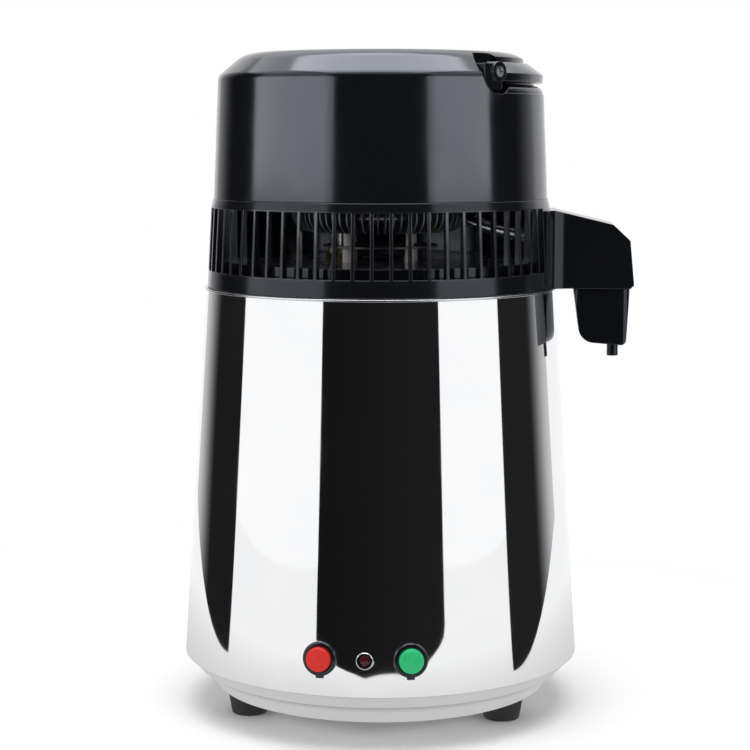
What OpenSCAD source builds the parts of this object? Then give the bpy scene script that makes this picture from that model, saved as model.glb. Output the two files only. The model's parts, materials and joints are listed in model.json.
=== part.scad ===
// Countertop water distiller: a steel boiler with a lift-off condenser head, drip spout and filter cup.
// Millimetres, +Z up. The origin lies on the counter, on the axis of the body. The front faces -Y.

/* [Feet and base] */
// Height of each rubber foot
foot_h = 11.5; // [6:0.5:18]
// Diameter of a foot where it meets the base
foot_d = 24; // [16:0.5:28]
// Diameter of a foot where it stands
foot_tip_d = 20; // [12:0.5:26]
// Distance from the rim of a foot to the lower edge of the base ring
foot_inset = 0.5; // [0:0.5:6]
// Height of the base ring
base_h = 19; // [14:0.5:26]
// Height of the lower band of the base ring
base_band_h = 11; // [7:0.5:12]
// Radial run of the sloping lower band
base_band_run = 8.2; // [5:0.1:12]
// Radial run of the sloping upper band
base_flare_run = 8; // [5:0.5:12]
// Depth of the step between the two bands
base_step = 2.3; // [0.5:0.1:2.5]
// Setback of the base ring's edge below the shell
base_seam = 0.5; // [0.2:0.1:1]
// Wall of the base ring
base_wall = 2.5; // [1.5:0.1:3.5]
// Height of the collar that the shell slips over
base_collar_h = 7; // [4:0.5:9]
// Width of the ledge inside the feet that carries the base plate
base_ledge = 3; // [2:0.5:6]
// Thickness of the base plate
base_plate_t = 1.2; // [0.8:0.1:2]

/* [Shell] */
// Diameter of the shell at its lower edge
body_d = 228; // [216:1:240]
// Diameter of the shell at its upper edge
shell_top_d = 200.6; // [196:0.2:206]
// Height of the shell
shell_h = 210; // [190:1:230]
// Wall of the shell
shell_wall = 1; // [0.6:0.1:1.4]

/* [Tank and heater] */
// Air gap between the tank and the upper edge of the shell
tank_gap = 6; // [4:0.5:9]
// Wall of the boiling tank
tank_wall = 1.2; // [0.8:0.1:1.6]
// Radius of the tank's lower corner
tank_corner_r = 14; // [8:0.5:16]
// Upright edge of the tank's pressed floor, below the weld to the wall
tank_weld = 0.5; // [0.2:0.1:2]
// Height of the space under the tank
base_room_h = 36; // [34:0.5:46]
// Overhang of the tank's rim past the shell
rim_overhang = 0.4; // [0.2:0.1:0.8]
// Diameter of the heater plate
heater_plate_d = 144; // [136:1:150]
// Thickness of the heater plate
heater_plate_t = 4; // [3:0.5:6]
// Radius of the heater ring, to the middle of its tube
heater_ring_r = 60; // [54:0.5:64]
// Diameter of the heater tube
heater_tube_d = 7.2; // [6:0.2:8]
// Diameter of the two thermal switches
thermostat_d = 18; // [14:0.5:20]
// Height of the two thermal switches
thermostat_h = 7; // [5:0.5:9]
// Distance of each thermal switch from the axis
thermostat_r = 28; // [22:0.5:34]
// Diameter of the stud that ties the tank to the base plate
stud_d = 6; // [5:0.5:8]

/* [Controls] */
// Height of the controls above the lower edge of the shell
control_h = 20; // [17:0.5:22]
// Angle between neighbouring controls
control_pitch = 12.4; // [11:0.1:18]
// Diameter of a button's bezel
bezel_d = 18.6; // [18:0.2:20]
// Height of a button's bezel
bezel_h = 2.2; // [1.6:0.1:3]
// Diameter of a button's barrel
barrel_d = 16; // [15.6:0.1:16.4]
// Diameter of a button's cap
cap_d = 13.4; // [12:0.1:13.8]
// Height of a cap above its bezel
cap_rise = 3.6; // [2.8:0.1:4.5]
// Length of a cap below its bezel's face
cap_depth = 9; // [8:0.1:10]
// Travel of a button
press = 2.5; // [1.5:0.1:2.6]
// Length of a button's spring when the button is pressed
spring_pressed_l = 5.7; // [5:0.1:7]
// Width of a switch body
switch_w = 14; // [12:0.5:16]
// Length of a switch body
switch_l = 10; // [8:0.5:12]
// Diameter of the lamp's bezel
lamp_d = 10; // [9.4:0.1:12]
// Height of the lamp's bezel
lamp_h = 2.8; // [2:0.1:3.5]
// Diameter of the lamp's lens
lens_d = 6.2; // [5:0.1:6.4]
// Depth of the lens below the face of its bezel
lens_sink = 1.2; // [0.6:0.1:1.8]
// Diameter of the lamp's barrel
lamp_barrel_d = 7.8; // [7.4:0.1:8.2]

/* [Power inlets] */
// Width of the mains inlet's flange
inlet_w = 31; // [30:0.5:34]
// Height of the mains inlet's flange
inlet_h = 24.5; // [23:0.5:26]
// Stand-out of the inlet's flange from the shell
inlet_out = 3.2; // [2.4:0.1:4]
// Width of the inlet's recess
recess_w = 24; // [22:0.5:25]
// Height of the inlet's recess
recess_h = 16.5; // [15:0.5:17.5]
// Depth of the inlet's recess
recess_depth = 16; // [13:0.5:18]
// Wall of the inlet's housing
inlet_wall = 1.6; // [1.2:0.1:2]
// Width of the fan inlet's recess
fan_recess_w = 16; // [14:0.5:18]
// Height of the fan inlet's recess
fan_recess_h = 8; // [7:0.5:9]
// Height of the fan inlet above the vent ring
fan_inlet_h = 20; // [15:0.5:26]

/* [Vent ring] */
// Height of the vent ring
vent_h = 50; // [44:0.5:56]
// Setback of the vent ring from the tank's rim
vent_setback = 1.5; // [0.5:0.1:2]
// Inward lean of the vent ring over its height
vent_lean = 2.8; // [1:0.1:4]
// Wall of the vent ring
vent_wall = 2.4; // [2:0.1:3]
// Height of the band below the slots
vent_foot_h = 9.6; // [8:0.2:12]
// Height of the band above the slots
vent_cap_h = 5; // [4:0.5:7]
// Inward run of the bevelled band above the slots
vent_bevel = 0.9; // [0.4:0.1:1.1]
// Height of the collar round the lid's pan, above the pan
pan_collar_h = 0.8; // [0.4:0.1:2]
// Wall of the collar round the lid's pan
pan_collar_t = 1.4; // [1:0.1:1.6]
// Number of ribs round the vent ring
rib_count = 60; // [40:2:72]
// Width of a rib
rib_w = 2; // [1.4:0.1:3]
// Depth of a rib
rib_depth = 4.5; // [4:0.5:8]
// Angle from the middle of the back to the end of the baffle on the spout's side
baffle_near_angle = 68; // [50:1:72]
// Angle from the middle of the back to the baffle's other end
baffle_far_angle = 78; // [50:1:79]
// Thickness of the baffle
baffle_t = 0.8; // [0.6:0.1:0.9]
// Angle of the first rib from the front
rib_phase = 1.5; // [0:0.1:6]
// Width of the shelf that the dome stands on
dome_shelf_w = 14; // [12:0.5:16]

/* [Steam lid] */
// Width of the lid's brim
brim_w = 8.4; // [7:0.2:10]
// Height of the lid's raised pan
pan_h = 13; // [10:0.5:16]
// Thickness of the lid's sheet
lid_t = 1; // [0.8:0.1:1.4]
// Thickness of the silicone seal
seal_t = 1.5; // [1:0.1:2]
// Width of the silicone seal
seal_w = 3; // [2:0.1:3.1]

/* [Dome] */
// Setback of the dome from the vent ring
dome_setback = 1.2; // [0.4:0.1:2]
// Height of the dome's side wall
dome_wall_h = 68.5; // [64:0.5:74]
// Inward lean of the dome over its side wall
dome_lean = 3; // [1:0.1:4]
// Height of the sloping shoulder
shoulder_h = 13; // [11:0.5:15]
// Radial run of the sloping shoulder
shoulder_run = 15.2; // [13:0.2:18]
// Radius of the crease between wall and shoulder
crease_r = 5; // [2:0.5:7]
// Radius of the edge round the flat top
crown_r = 18; // [8:0.5:22]
// Wall of the dome
dome_wall = 2.5; // [2:0.1:3]
// Number of air slots in the top
top_slots = 30; // [20:1:34]
// Width of an air slot
top_slot_w = 3; // [2:0.1:3.2]
// Inner end of the air slots
top_slot_in = 26; // [24:0.5:32]
// Outer end of the air slots
top_slot_out = 56; // [48:0.5:58]

/* [Carry handle] */
// Angle of the handle's front pivot from the front
handle_angle = 48; // [40:1:60]
// Height of the pivot above the top of the side wall
pivot_rise = 1; // [0:0.1:2]
// Width of the bail
bail_w = 10.4; // [8:0.2:11]
// Drop of the bail's underside below the pivot
bail_drop = 5; // [4:0.1:5.4]
// Depth of the finger gap under the bail
finger_gap = 1.4; // [1:0.1:3]
// Width of the ledge that the folded bail rests over
bail_ledge = 5.2; // [2:0.1:6]
// Radius of a pivot hub
hub_r = 5.4; // [5:0.1:7]
// Length of a pivot hub
hub_l = 14; // [12:0.2:16]
// Reach of a hub's nose below the pivot
nose_drop = 9.8; // [8:0.1:10.4]
// Reach of a hub's nose past the pivot, away from the bail
nose_reach = 10.8; // [9:0.1:11.2]
// Radius of the circle that the nose swings in
nose_sweep_r = 11.6; // [11.4:0.1:12.4]
// Diameter of a pivot screw's shank
pivot_d = 4; // [3:0.1:5]
// Diameter of a pivot screw's head
pivot_head_d = 5.5; // [5:0.1:7]

/* [Spout] */
// Reach of the spout past the vent ring
spout_reach = 45; // [43:0.5:50]
// Half width of the spout
spout_half_w = 18; // [17:0.5:20]
// Radius of the blend between spout and vent ring
spout_blend_r = 14; // [10:0.5:22]
// Wall of the spout
spout_wall = 2; // [1.6:0.1:2.4]
// Height of the spout at its end
spout_end_h = 27; // [24:0.5:30]
// Height of the spout where its upper bevel starts
spout_bevel_h = 36; // [33:0.5:38]
// Length of the bevel at the spout's end
spout_bevel_l = 12; // [9:0.5:15]
// Height of the spout at the vent ring
spout_root_h = 44; // [41:0.5:46]

/* [Filter cup] */
// Length of the cup along the spout
cup_l = 32; // [30:0.5:33]
// Half width of the cup
cup_half_w = 14.5; // [13.5:0.5:15]
// Height of the cup below the spout
cup_h = 32; // [30:0.5:40]
// Radius of the cup's sweep on its inner side
cup_sweep_r = 9; // [8:0.5:16]
// Wall of the cup
cup_wall = 1.8; // [1.4:0.1:2.2]
// Height of the collar that plugs into the spout
collar_h = 9; // [6:0.5:12]
// Diameter of the drip spigot
spigot_d = 6.4; // [5:0.1:8]
// Bore of the drip spigot
spigot_bore = 3.4; // [2.4:0.1:4]
// Length of the drip spigot
spigot_l = 7; // [4:0.1:9]
// Height of the carbon cartridge
cartridge_h = 16; // [12:0.5:18]

/* [Condenser] */
// Radius of the condenser coil, to the middle of its tube
coil_r = 41; // [40:0.5:44]
// Diameter of the condenser tube
tube_d = 8; // [6:0.2:8.4]
// Diameter of a cooling fin
fin_d = 20; // [17:0.2:20.4]
// Thickness of a cooling fin
fin_t = 0.8; // [0.5:0.1:1.2]
// Spacing of the fins along the tube
fin_pitch = 3.8; // [3.4:0.1:6]
// Drop from one turn of the coil to the next
coil_pitch = 21.2; // [20.8:0.2:24]
// Height of the lowest turn above the steam lid
coil_lift = 27; // [24:0.5:30]

/* [Heat shield] */
// Diameter of the shield between the steam lid and the condenser
shield_d = 66; // [62:1:80]
// Thickness of the shield
shield_t = 1; // [0.8:0.1:1.5]
// Clearance between the shield and the tube that leaves above it
shield_room = 0.8; // [0.5:0.1:1.5]

/* [Fan] */
// Radius of the circle of the fan's posts
post_circle_r = 25; // [24:0.5:26]
// Diameter of a fan post below the heat shield
post_d = 5.4; // [5:0.2:7.4]
// Diameter of a fan post above the heat shield
post_neck_d = 4.2; // [3.8:0.1:4.6]
// Height of the fan posts
post_h = 62; // [58:0.5:68]
// Thickness of the motor plate
motor_plate_t = 2; // [1.5:0.1:3]
// Diameter of the motor can
motor_d = 38; // [34:0.5:39]
// Height of the motor can
motor_h = 18; // [15:0.5:20]
// Diameter of the motor shaft
shaft_d = 4; // [3:0.1:5]
// Diameter of the shaft's bearing bush
bush_d = 8; // [7:0.1:9]
// Diameter of the fan
fan_d = 132; // [120:1:138]
// Number of fan blades
blade_count = 5; // [3:1:6]
// Width of a fan blade
blade_w = 30; // [24:0.5:34]
// Pitch angle of a fan blade
blade_pitch = 24; // [16:1:28]
// Thickness of a fan blade
blade_t = 1.6; // [1.2:0.1:2.4]
// Diameter of the fan's hub
fan_hub_d = 20; // [16:0.5:24]
// Height of the fan's hub
fan_hub_h = 12; // [10:0.5:14]

/* [Clearances] */
// Clearance between fixed pieces that slip together
slip_gap = 0.2; // [0.1:0.05:0.4]
// Clearance round pieces that slide or swing
move_gap = 0.4; // [0.3:0.05:0.6]
// Running clearance of a shaft in its bearing, on the radius
run_gap = 0.05; // [0.02:0.01:0.08]
// Clearance of a fin round the tube
fin_gap = 0.15; // [0.1:0.01:0.3]

/* [Hidden] */
$fn = 96;

// Overrun of a cut past the faces that it opens
over = 1;

// Directions of the controls and inlets, as angles from the front towards +X
stop_angle = -control_pitch;
start_angle = control_pitch;
rear_angle = 180;
spout_angle = 90;
foot_angles = [-60, 60, 180];

// Body radii and levels
body_r = body_d / 2;
shell_top_r = shell_top_d / 2;
shell_tilt = atan((body_r - shell_top_r) / shell_h);
base_z = foot_h;
shell_z = base_z + base_h;
shell_top_z = shell_z + shell_h;
rim_z = shell_top_z + tank_wall;
rim_r = shell_top_r + rim_overhang;
tank_z = shell_z + base_room_h;
weld_z = tank_z + tank_corner_r + tank_weld;
tank_r = shell_top_r - shell_wall - tank_gap;
heater_z = tank_z - heater_plate_t;
control_z = shell_z + control_h;

// Base ring radii
flare_r = body_r - base_flare_run;
band_r = flare_r - base_step;
base_r = band_r - base_band_run;
foot_circle_r = base_r - foot_inset - foot_d / 2;
ledge_r = foot_circle_r - foot_d / 2 - base_ledge;
plate_r = ledge_r + 2 * base_ledge;
plate_z = base_z + base_wall;
band_top_z = base_z + base_band_h;
foot_edge_r = 1;
base_screw_r = ledge_r + base_ledge;
base_screw_angles = [for (a = foot_angles) a + 60];
tie_nut_h = 4;
tie_nut_wall = 4;

// Head radii and levels
vent_z = rim_z + move_gap;
vent_r = rim_r - vent_setback;
vent_top_z = vent_z + vent_h;
vent_top_r = vent_r - vent_lean;
vent_tilt = atan(vent_lean / vent_h);
slot_z = vent_z + vent_foot_h;
slot_top_z = vent_top_z - vent_cap_h;
brim_r = vent_r - vent_wall - move_gap;
pan_r = brim_r - brim_w;
lid_z = rim_z + seal_t;
pan_z = lid_z + pan_h;
pan_collar_r = pan_r + slip_gap + pan_collar_t;
lid_shelf_t = 2.5;
lid_shelf_z = lid_z + lid_t;
lid_shelf_top_z = lid_shelf_z + lid_shelf_t;
dome_shelf_z = vent_top_z - lid_shelf_t;
pan_edge_r = 3;
fitting_h = 9;
fitting_wall = 1.2;
fitting_flat = 1.3;
dome_r = vent_top_r - dome_setback;
wall_r = dome_r - dome_lean;
wall_z = vent_top_z + dome_wall_h;
top_z = wall_z + shoulder_h;
crown_edge_r = wall_r - shoulder_run;

// Small screws
screw_d = 3;
screw_head_d = 5.6;
screw_head_h = 1.8;
screw_l = 9;
boss_d = 9;
boss_h = 14;
boss_sink = 0.6;
screw_tip = 1;
dome_screw_r = dome_r - dome_wall - boss_d / 2 + boss_sink;
dome_screw_angles = [-96, -35, 35, 105];
lid_screw_angles = [for (i = [0:3]) 35 + i * 90];
lid_screw_r = (pan_collar_r + brim_r) / 2;

// Handle
pivot_z = wall_z + pivot_rise;
bail_out_r = wall_r;
bail_in_r = bail_out_r - bail_w;
bail_z = pivot_z - bail_drop;
groove_r = bail_in_r - 2 * move_gap;
nose_heel = 3;
pocket_r = nose_sweep_r + move_gap;
hub_in_r = wall_r - hub_l;
pocket_in_r = hub_in_r - move_gap;
pivot_boss_l = 9;
pivot_floor_t = 1;
pivot_angles = [handle_angle, handle_angle + 180];
pivot_head_h = 2;
pivot_head_out = 0.3;
pivot_l = hub_l - pivot_head_h + move_gap + pivot_boss_l - pivot_floor_t;
bail_draft = 0.4;
bail_edge_r = 0.7;
nose_setback = 1;

// Spout, along its own reach from the axis
spout_drop = 0.2;
spout_z = vent_z - spout_drop;
spout_end_r = vent_r + spout_reach;
spout_lip = 2;
spout_draft = 2.4;
spout_root_t = 8;
cup_out_r = spout_end_r - spout_lip;
cup_in_r = cup_out_r - cup_l;
cup_mid_r = (cup_in_r + cup_out_r) / 2;
cup_z = spout_z - move_gap;
cup_corner_r = 5;
cup_draft = 2;
cup_in_draft = 4.2;
cup_rise = 2;
cup_edge_r = 3;
collar_in = 1.6;
spigot_inset = 9;
spigot_r = cup_out_r - spigot_inset;
spigot_z = cup_z - cup_h - spigot_l;
spout_screw_y = 11;
spout_screw_h = 18;
spout_screw_z = slot_z + spout_screw_h;

// Condenser
tube_r = tube_d / 2;
coil_z = pan_z + coil_lift;
coil_turns = 3;
coil_start = 210;
coil_end = 360 * coil_turns;
coil_drop_start = 30;
coil_drop_span = 60;
coil_rings = 24;
riser_r = post_circle_r;
outlet_drop = 13;
outlet_z = coil_z - outlet_drop;
shield_z = outlet_z - tube_r - shield_room - shield_t;
outlet_drop_r = cup_mid_r;
outlet_bend = 9;

// Fan
post_z = pan_z + post_h;
motor_z = post_z + motor_plate_t;
motor_top_z = motor_z + motor_h;
blade_half_h = blade_w / 2 * sin(blade_pitch) + blade_t;
fan_lift = 3;
fan_hub_z = motor_top_z + fan_lift;
fan_mid_z = fan_hub_z + fan_hub_h / 2;
shaft_foot = 3;
shaft_room = 1;
fan_nut_h = 4;
fan_nut_wall = 4;
bush_l = bush_d / 2;
riser_room = 3;

// Colours
plastic_black = "#1b1b1d";
steel_bright = "#c9ccd0";
steel_satin = "#b3b6ba";
brass = "#b89a55";
rubber = "#232323";

// Plane geometry
function unit(v) = v / norm(v);
function corner(p) = [p[0], p[1]];
function fillet(a, b, c, r, n) =
    let (u = unit(a - b), v = unit(c - b))
    let (half = acos(u * v) / 2)
    let (m = b + unit(u + v) * r / sin(half))
    let (p = b + u * r / tan(half) - m, q = b + v * r / tan(half) - m)
    let (start = atan2(p[1], p[0]), turn = atan2(q[1], q[0]) - start)
    let (sweep = turn > 180 ? turn - 360 : turn < -180 ? turn + 360 : turn)
    [for (i = [0:n]) m + r * [cos(start + sweep * i / n), sin(start + sweep * i / n)]];

// A closed outline whose corners are [x, y] or, where they are rounded, [x, y, radius]
function rounded(points, n = 6) =
    let (last = len(points) - 1)
    [for (i = [0:last])
        let (b = points[i], a = points[i == 0 ? last : i - 1], c = points[i == last ? 0 : i + 1])
        each len(b) < 3 ? [b] : fillet(corner(a), corner(b), corner(c), b[2], n)];

function shell_radius(z) = body_r - (z - shell_z) * tan(shell_tilt);
function vent_radius(z) = vent_r - (z - vent_z) * tan(vent_tilt);
function smooth(t) = t * t * (3 - 2 * t);
function bezier(a, b, c, d, t) =
    pow(1 - t, 3) * a + 3 * pow(1 - t, 2) * t * b + 3 * (1 - t) * t * t * c + pow(t, 3) * d;

// A round tube along a route: one closed surface of triangles, with flat ends
function tangent(path, i) =
    unit(path[min(i + 1, len(path) - 1)] - path[max(i - 1, 0)]);
function carried(side, t) = unit(side - (side * t) * t);
function sides(path, i, side) =
    i == len(path) ? [] :
    let (s = carried(side, tangent(path, i)))
    concat([s], sides(path, i + 1, s));
function tube_points(path, r, n, side) =
    let (across = sides(path, 0, side))
    [for (i = [0:len(path) - 1])
        let (u = across[i], v = cross(tangent(path, i), u))
        for (j = [0:n - 1]) path[i] + r * (u * cos(360 * j / n) + v * sin(360 * j / n))];
function tube_faces(rings, n) = concat(
    [for (i = [0:rings - 2], j = [0:n - 1])
        let (k = (j + 1) % n)
        each [
            [i * n + j, (i + 1) * n + k, i * n + k],
            [i * n + j, (i + 1) * n + j, (i + 1) * n + k]
        ]],
    [for (j = [1:n - 2]) [0, j, j + 1]],
    [for (j = [1:n - 2]) [(rings - 1) * n, (rings - 1) * n + j + 1, (rings - 1) * n + j]]);

module tube(path, r, n, side) {
    polyhedron(tube_points(path, r, n, side), tube_faces(len(path), n), convexity = 10);
}

// Least distance between turns of a wound route, less the tube itself
function least_gap(path, r, skip) =
    min([for (i = [0:len(path) - 1], j = [0:len(path) - 1])
        if (j - i > skip) norm(path[i] - path[j])]) - 2 * r;

// Places a child at an angle from the front, at a radius and a height, with its Y along the radius
module at_angle(angle, r, z) {
    rotate([0, 0, angle]) translate([0, -r, z]) children();
}

// Places a child on the shell, with its Z along the outward normal
module on_shell(angle, z) {
    at_angle(angle, shell_radius(z), z) rotate([90 - shell_tilt, 0, 0]) children();
}

// Places a child at a radius, with its Z pointing outwards
module radial(angle, r, z) {
    at_angle(angle, r, z) rotate([90, 0, 0]) children();
}

module revolve(points) {
    rotate_extrude() polygon(points);
}

// A sector of revolution from one angle to another, counted from the front
module sector(start, span, points) {
    rotate([0, 0, start - 90]) rotate_extrude(angle = span) polygon(points);
}

module disc(r, z0, z1) {
    translate([0, 0, z0]) cylinder(r = r, h = z1 - z0);
}

module block(x0, x1, y0, y1, z0, z1) {
    translate([x0, y0, z0]) cube([x1 - x0, y1 - y0, z1 - z0]);
}

// A screw whose head lies below its seat, with a cross recess
module screw(d, l, head_d, head_h) {
    cross_l = head_d / 3;
    cross_w = head_d / 14;
    cylinder(d = d, h = l);
    difference() {
        translate([0, 0, -head_h]) cylinder(d = head_d, h = head_h);
        for (a = [0, 90]) rotate([0, 0, a])
            block(-cross_l, cross_l, -cross_w, cross_w, -head_h - over, -head_h / 2);
    }
}

module hex_nut(across, d, h) {
    difference() {
        cylinder(d = across / cos(30), h = h, $fn = 6);
        translate([0, 0, -over]) cylinder(d = d, h = h + 2 * over);
    }
}

// Two flat terminals that stand out behind a switch
tab_x = 4;
tab_w = 4.8;
tab_t = 0.8;
tab_l = 7;

module tabs(z) {
    for (s = [-1, 1]) translate([s * tab_x, 0, z])
        block(-tab_t / 2, tab_t / 2, -tab_w / 2, tab_w / 2, -tab_l, 0);
}

// Boiler: shell, tank and heater

module shell_solid(extra) {
    revolve([
        [0, shell_z - over], [shell_radius(shell_z - over) + extra, shell_z - over],
        [shell_top_r + extra, shell_top_z], [0, shell_top_z]
    ]);
}

module outer_shell() color(steel_bright) difference() {
    revolve([
        [body_r - shell_wall, shell_z], [body_r, shell_z],
        [shell_top_r, shell_top_z], [shell_top_r - shell_wall, shell_top_z]
    ]);
    for (a = [stop_angle, start_angle]) on_shell(a, control_z)
        cylinder(d = barrel_d + 2 * slip_gap, h = bezel_d, center = true);
    on_shell(0, control_z) cylinder(d = lamp_barrel_d + 2 * slip_gap, h = bezel_d, center = true);
    on_shell(rear_angle, control_z) inlet_core(slip_gap, -inlet_h, inlet_h);
}

module boiling_tank() color(steel_bright) revolve(rounded([
    [tank_r, weld_z], [tank_r, shell_top_z],
    [rim_r, shell_top_z, tank_wall / 3], [rim_r, rim_z, tank_wall / 3],
    [tank_r - tank_wall, rim_z], [tank_r - tank_wall, weld_z]
]));

module tank_floor() color(steel_bright) revolve(rounded([
    [0, tank_z], [tank_r, tank_z, tank_corner_r], [tank_r, weld_z], [tank_r - tank_wall, weld_z],
    [tank_r - tank_wall, tank_z + tank_wall, tank_corner_r - tank_wall], [0, tank_z + tank_wall]
]));

module heater_plate() color("#9a9da1") disc(heater_plate_d / 2, heater_z, tank_z);

module heater_ring() color("#6c6a68") {
    ring_z = heater_z - heater_tube_d / 2 - run_gap;
    lead_l = 12;
    open_angle = 40;
    translate([0, 0, ring_z]) rotate([0, 0, 90 + open_angle / 2]) rotate_extrude(angle = 360 - open_angle)
        translate([heater_ring_r, 0]) circle(d = heater_tube_d);
    for (a = [-open_angle / 2, open_angle / 2]) rotate([0, 0, 90 + a])
        translate([heater_ring_r, 0, ring_z - lead_l]) cylinder(d = heater_tube_d, h = lead_l);
}

module thermal_switch(angle) {
    at_angle(angle, thermostat_r, heater_z - thermostat_h) {
        cylinder(d = thermostat_d, h = thermostat_h);
        tabs(0);
    }
}

module thermostat() color("#d8d2c4") thermal_switch(0);

module thermal_cutout() color("#3a3734") thermal_switch(180);

// Base: ring, plate, tie stud and feet

module base_ring() color(steel_satin) {
    collar_r = body_r - shell_wall - slip_gap;
    collar_lean = base_collar_h * tan(shell_tilt);
    difference() {
        revolve([
            [ledge_r, base_z], [base_r, base_z], [band_r, band_top_z], [flare_r, band_top_z],
            [body_r - base_seam, shell_z], [collar_r, shell_z],
            [collar_r - collar_lean, shell_z + base_collar_h],
            [collar_r - collar_lean - base_wall, shell_z + base_collar_h],
            [collar_r - base_wall, shell_z], [band_r - base_wall, band_top_z],
            [base_r - base_wall, plate_z], [ledge_r, plate_z]
        ]);
        for (a = foot_angles) at_angle(a, foot_circle_r, base_z - over)
            cylinder(d = screw_d + 2 * slip_gap, h = base_wall + 2 * over);
        for (a = base_screw_angles) at_angle(a, base_screw_r, base_z - over)
            cylinder(d = screw_d, h = base_wall + 2 * over);
    }
}

module base_plate() color(steel_satin) difference() {
    disc(plate_r, plate_z, plate_z + base_plate_t);
    disc(stud_d / 2 + slip_gap, plate_z - over, plate_z + base_plate_t + over);
    for (a = base_screw_angles) at_angle(a, base_screw_r, plate_z - over)
        cylinder(d = screw_d, h = base_plate_t + 2 * over);
}

module base_screws() color(steel_bright) for (a = base_screw_angles) at_angle(a, base_screw_r, base_z)
    screw(screw_d, base_wall + base_plate_t + screw_tip, screw_head_d, screw_head_h);

module tie_stud() color(steel_bright) disc(stud_d / 2, plate_z - tie_nut_h - screw_tip, heater_z);

module tie_nut() color(steel_bright) translate([0, 0, plate_z - tie_nut_h])
    hex_nut(stud_d + tie_nut_wall, stud_d, tie_nut_h);

module foot(angle) color(rubber) at_angle(angle, foot_circle_r, 0) difference() {
    revolve(rounded([
        [0, 0], [foot_tip_d / 2, 0, foot_edge_r], [foot_d / 2, foot_h], [0, foot_h]
    ], 4));
    disc(screw_d / 2 + slip_gap, -over, foot_h + over);
    disc(screw_head_d / 2 + slip_gap, -over, foot_h / 2);
}

module foot_front_left() foot(foot_angles[0]);

module foot_front_right() foot(foot_angles[1]);

module foot_rear() foot(foot_angles[2]);

module foot_screws() color(steel_bright) for (a = foot_angles) at_angle(a, foot_circle_r, foot_h / 2)
    screw(screw_d, foot_h / 2 + base_wall + screw_tip, screw_head_d, screw_head_h);

// Mains inlet in the back of the shell

module inlet_core(extra, z0, z1) {
    x = recess_w / 2 + inlet_wall + extra;
    y = recess_h / 2 + inlet_wall + extra;
    block(-x, x, -y, y, z0, z1);
}

inlet_floor_z = inlet_out - recess_depth;
pin_w = 2;
pin_h = 4;
pin_tip = 5;
pin_tail = 8;
pin_places = [[-7, -2], [0, 2], [7, -2]];

module inlet_blades(z0, z1) {
    for (p = pin_places) translate(p)
        block(-pin_w / 2, pin_w / 2, -pin_h / 2, pin_h / 2, z0, z1);
}

module power_inlet() color(plastic_black) difference() {
    union() {
        on_shell(rear_angle, control_z) inlet_core(0, inlet_floor_z - inlet_wall, inlet_out);
        difference() {
            on_shell(rear_angle, control_z)
                block(-inlet_w / 2, inlet_w / 2, -inlet_h / 2, inlet_h / 2, -inlet_out, inlet_out);
            shell_solid(slip_gap);
        }
    }
    on_shell(rear_angle, control_z) translate([0, 0, inlet_floor_z]) linear_extrude(2 * recess_depth)
        polygon([
            [-recess_w / 2, -recess_h / 2], [recess_w / 2, -recess_h / 2], [recess_w / 2, recess_h / 4],
            [recess_w / 3, recess_h / 2], [-recess_w / 3, recess_h / 2], [-recess_w / 2, recess_h / 4]
        ]);
    on_shell(rear_angle, control_z) inlet_blades(inlet_floor_z - 2 * inlet_wall, inlet_out);
}

module inlet_pins() color(steel_bright) on_shell(rear_angle, control_z)
    inlet_blades(inlet_floor_z - inlet_wall - pin_tail, inlet_out - pin_tip);

// Push-buttons and lamp, each along the wall's normal

bore_r = cap_d / 2 + move_gap;
cap_z = bezel_h - cap_depth;
cap_crown = 0.6;
cap_edge_r = 1.6;
bezel_edge_r = 0.9;
spring_low = cap_z - press - spring_pressed_l;
spring_high = cap_z;
barrel_floor_t = 1;
barrel_floor_z = spring_low - barrel_floor_t;
nut_h = 3;
nut_wall = 4;
nut_across = barrel_d + nut_wall;
nut_sag = pow(nut_across / cos(30), 2) / (8 * shell_top_r);
nut_z = -shell_wall - nut_sag - run_gap;
lamp_nut_across = lamp_barrel_d + nut_wall * 0.8;
lamp_barrel_l = 15;
lamp_edge_r = 0.6;
lamp_draft = 0.4;
lens_depth = 5;
lens_edge_r = 1.2;
lead_d = 0.8;
lead_x = 1.3;
lead_l = 8;
wire_r = 0.5;
spring_r = cap_d / 2 - 2;
spring_curls = 3;
spring_rings = 8;

module button_cap(angle) on_shell(angle, control_z) rotate_extrude() polygon(rounded([
    [0, cap_z], [cap_d / 2, cap_z], [cap_d / 2, bezel_h + cap_rise - cap_crown, cap_edge_r],
    [0, bezel_h + cap_rise]
]));

module button_bezel(angle) color(plastic_black) on_shell(angle, control_z) {
    key_w = 4.2;
    key_out = 1.2;
    difference() {
        union() {
            rotate_extrude() polygon(rounded([
                [0, run_gap], [bezel_d / 2, run_gap], [bezel_d / 2, bezel_h, bezel_edge_r], [0, bezel_h]
            ], 4));
            disc(barrel_d / 2, barrel_floor_z, run_gap);
            block(-key_w / 2, key_w / 2, -bezel_d / 2 - key_out, -barrel_d / 2, run_gap, bezel_h / 2);
        }
        disc(bore_r, spring_low, bezel_h + over);
    }
}

module button_nut(angle) color(steel_bright) on_shell(angle, control_z) translate([0, 0, nut_z - nut_h])
    hex_nut(nut_across, barrel_d, nut_h);

module button_switch(angle) color("#2b2a29") on_shell(angle, control_z) {
    back_z = barrel_floor_z - switch_l;
    block(-switch_w / 2, switch_w / 2, -switch_w / 2, switch_w / 2, back_z, barrel_floor_z);
    tabs(back_z);
}

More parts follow.
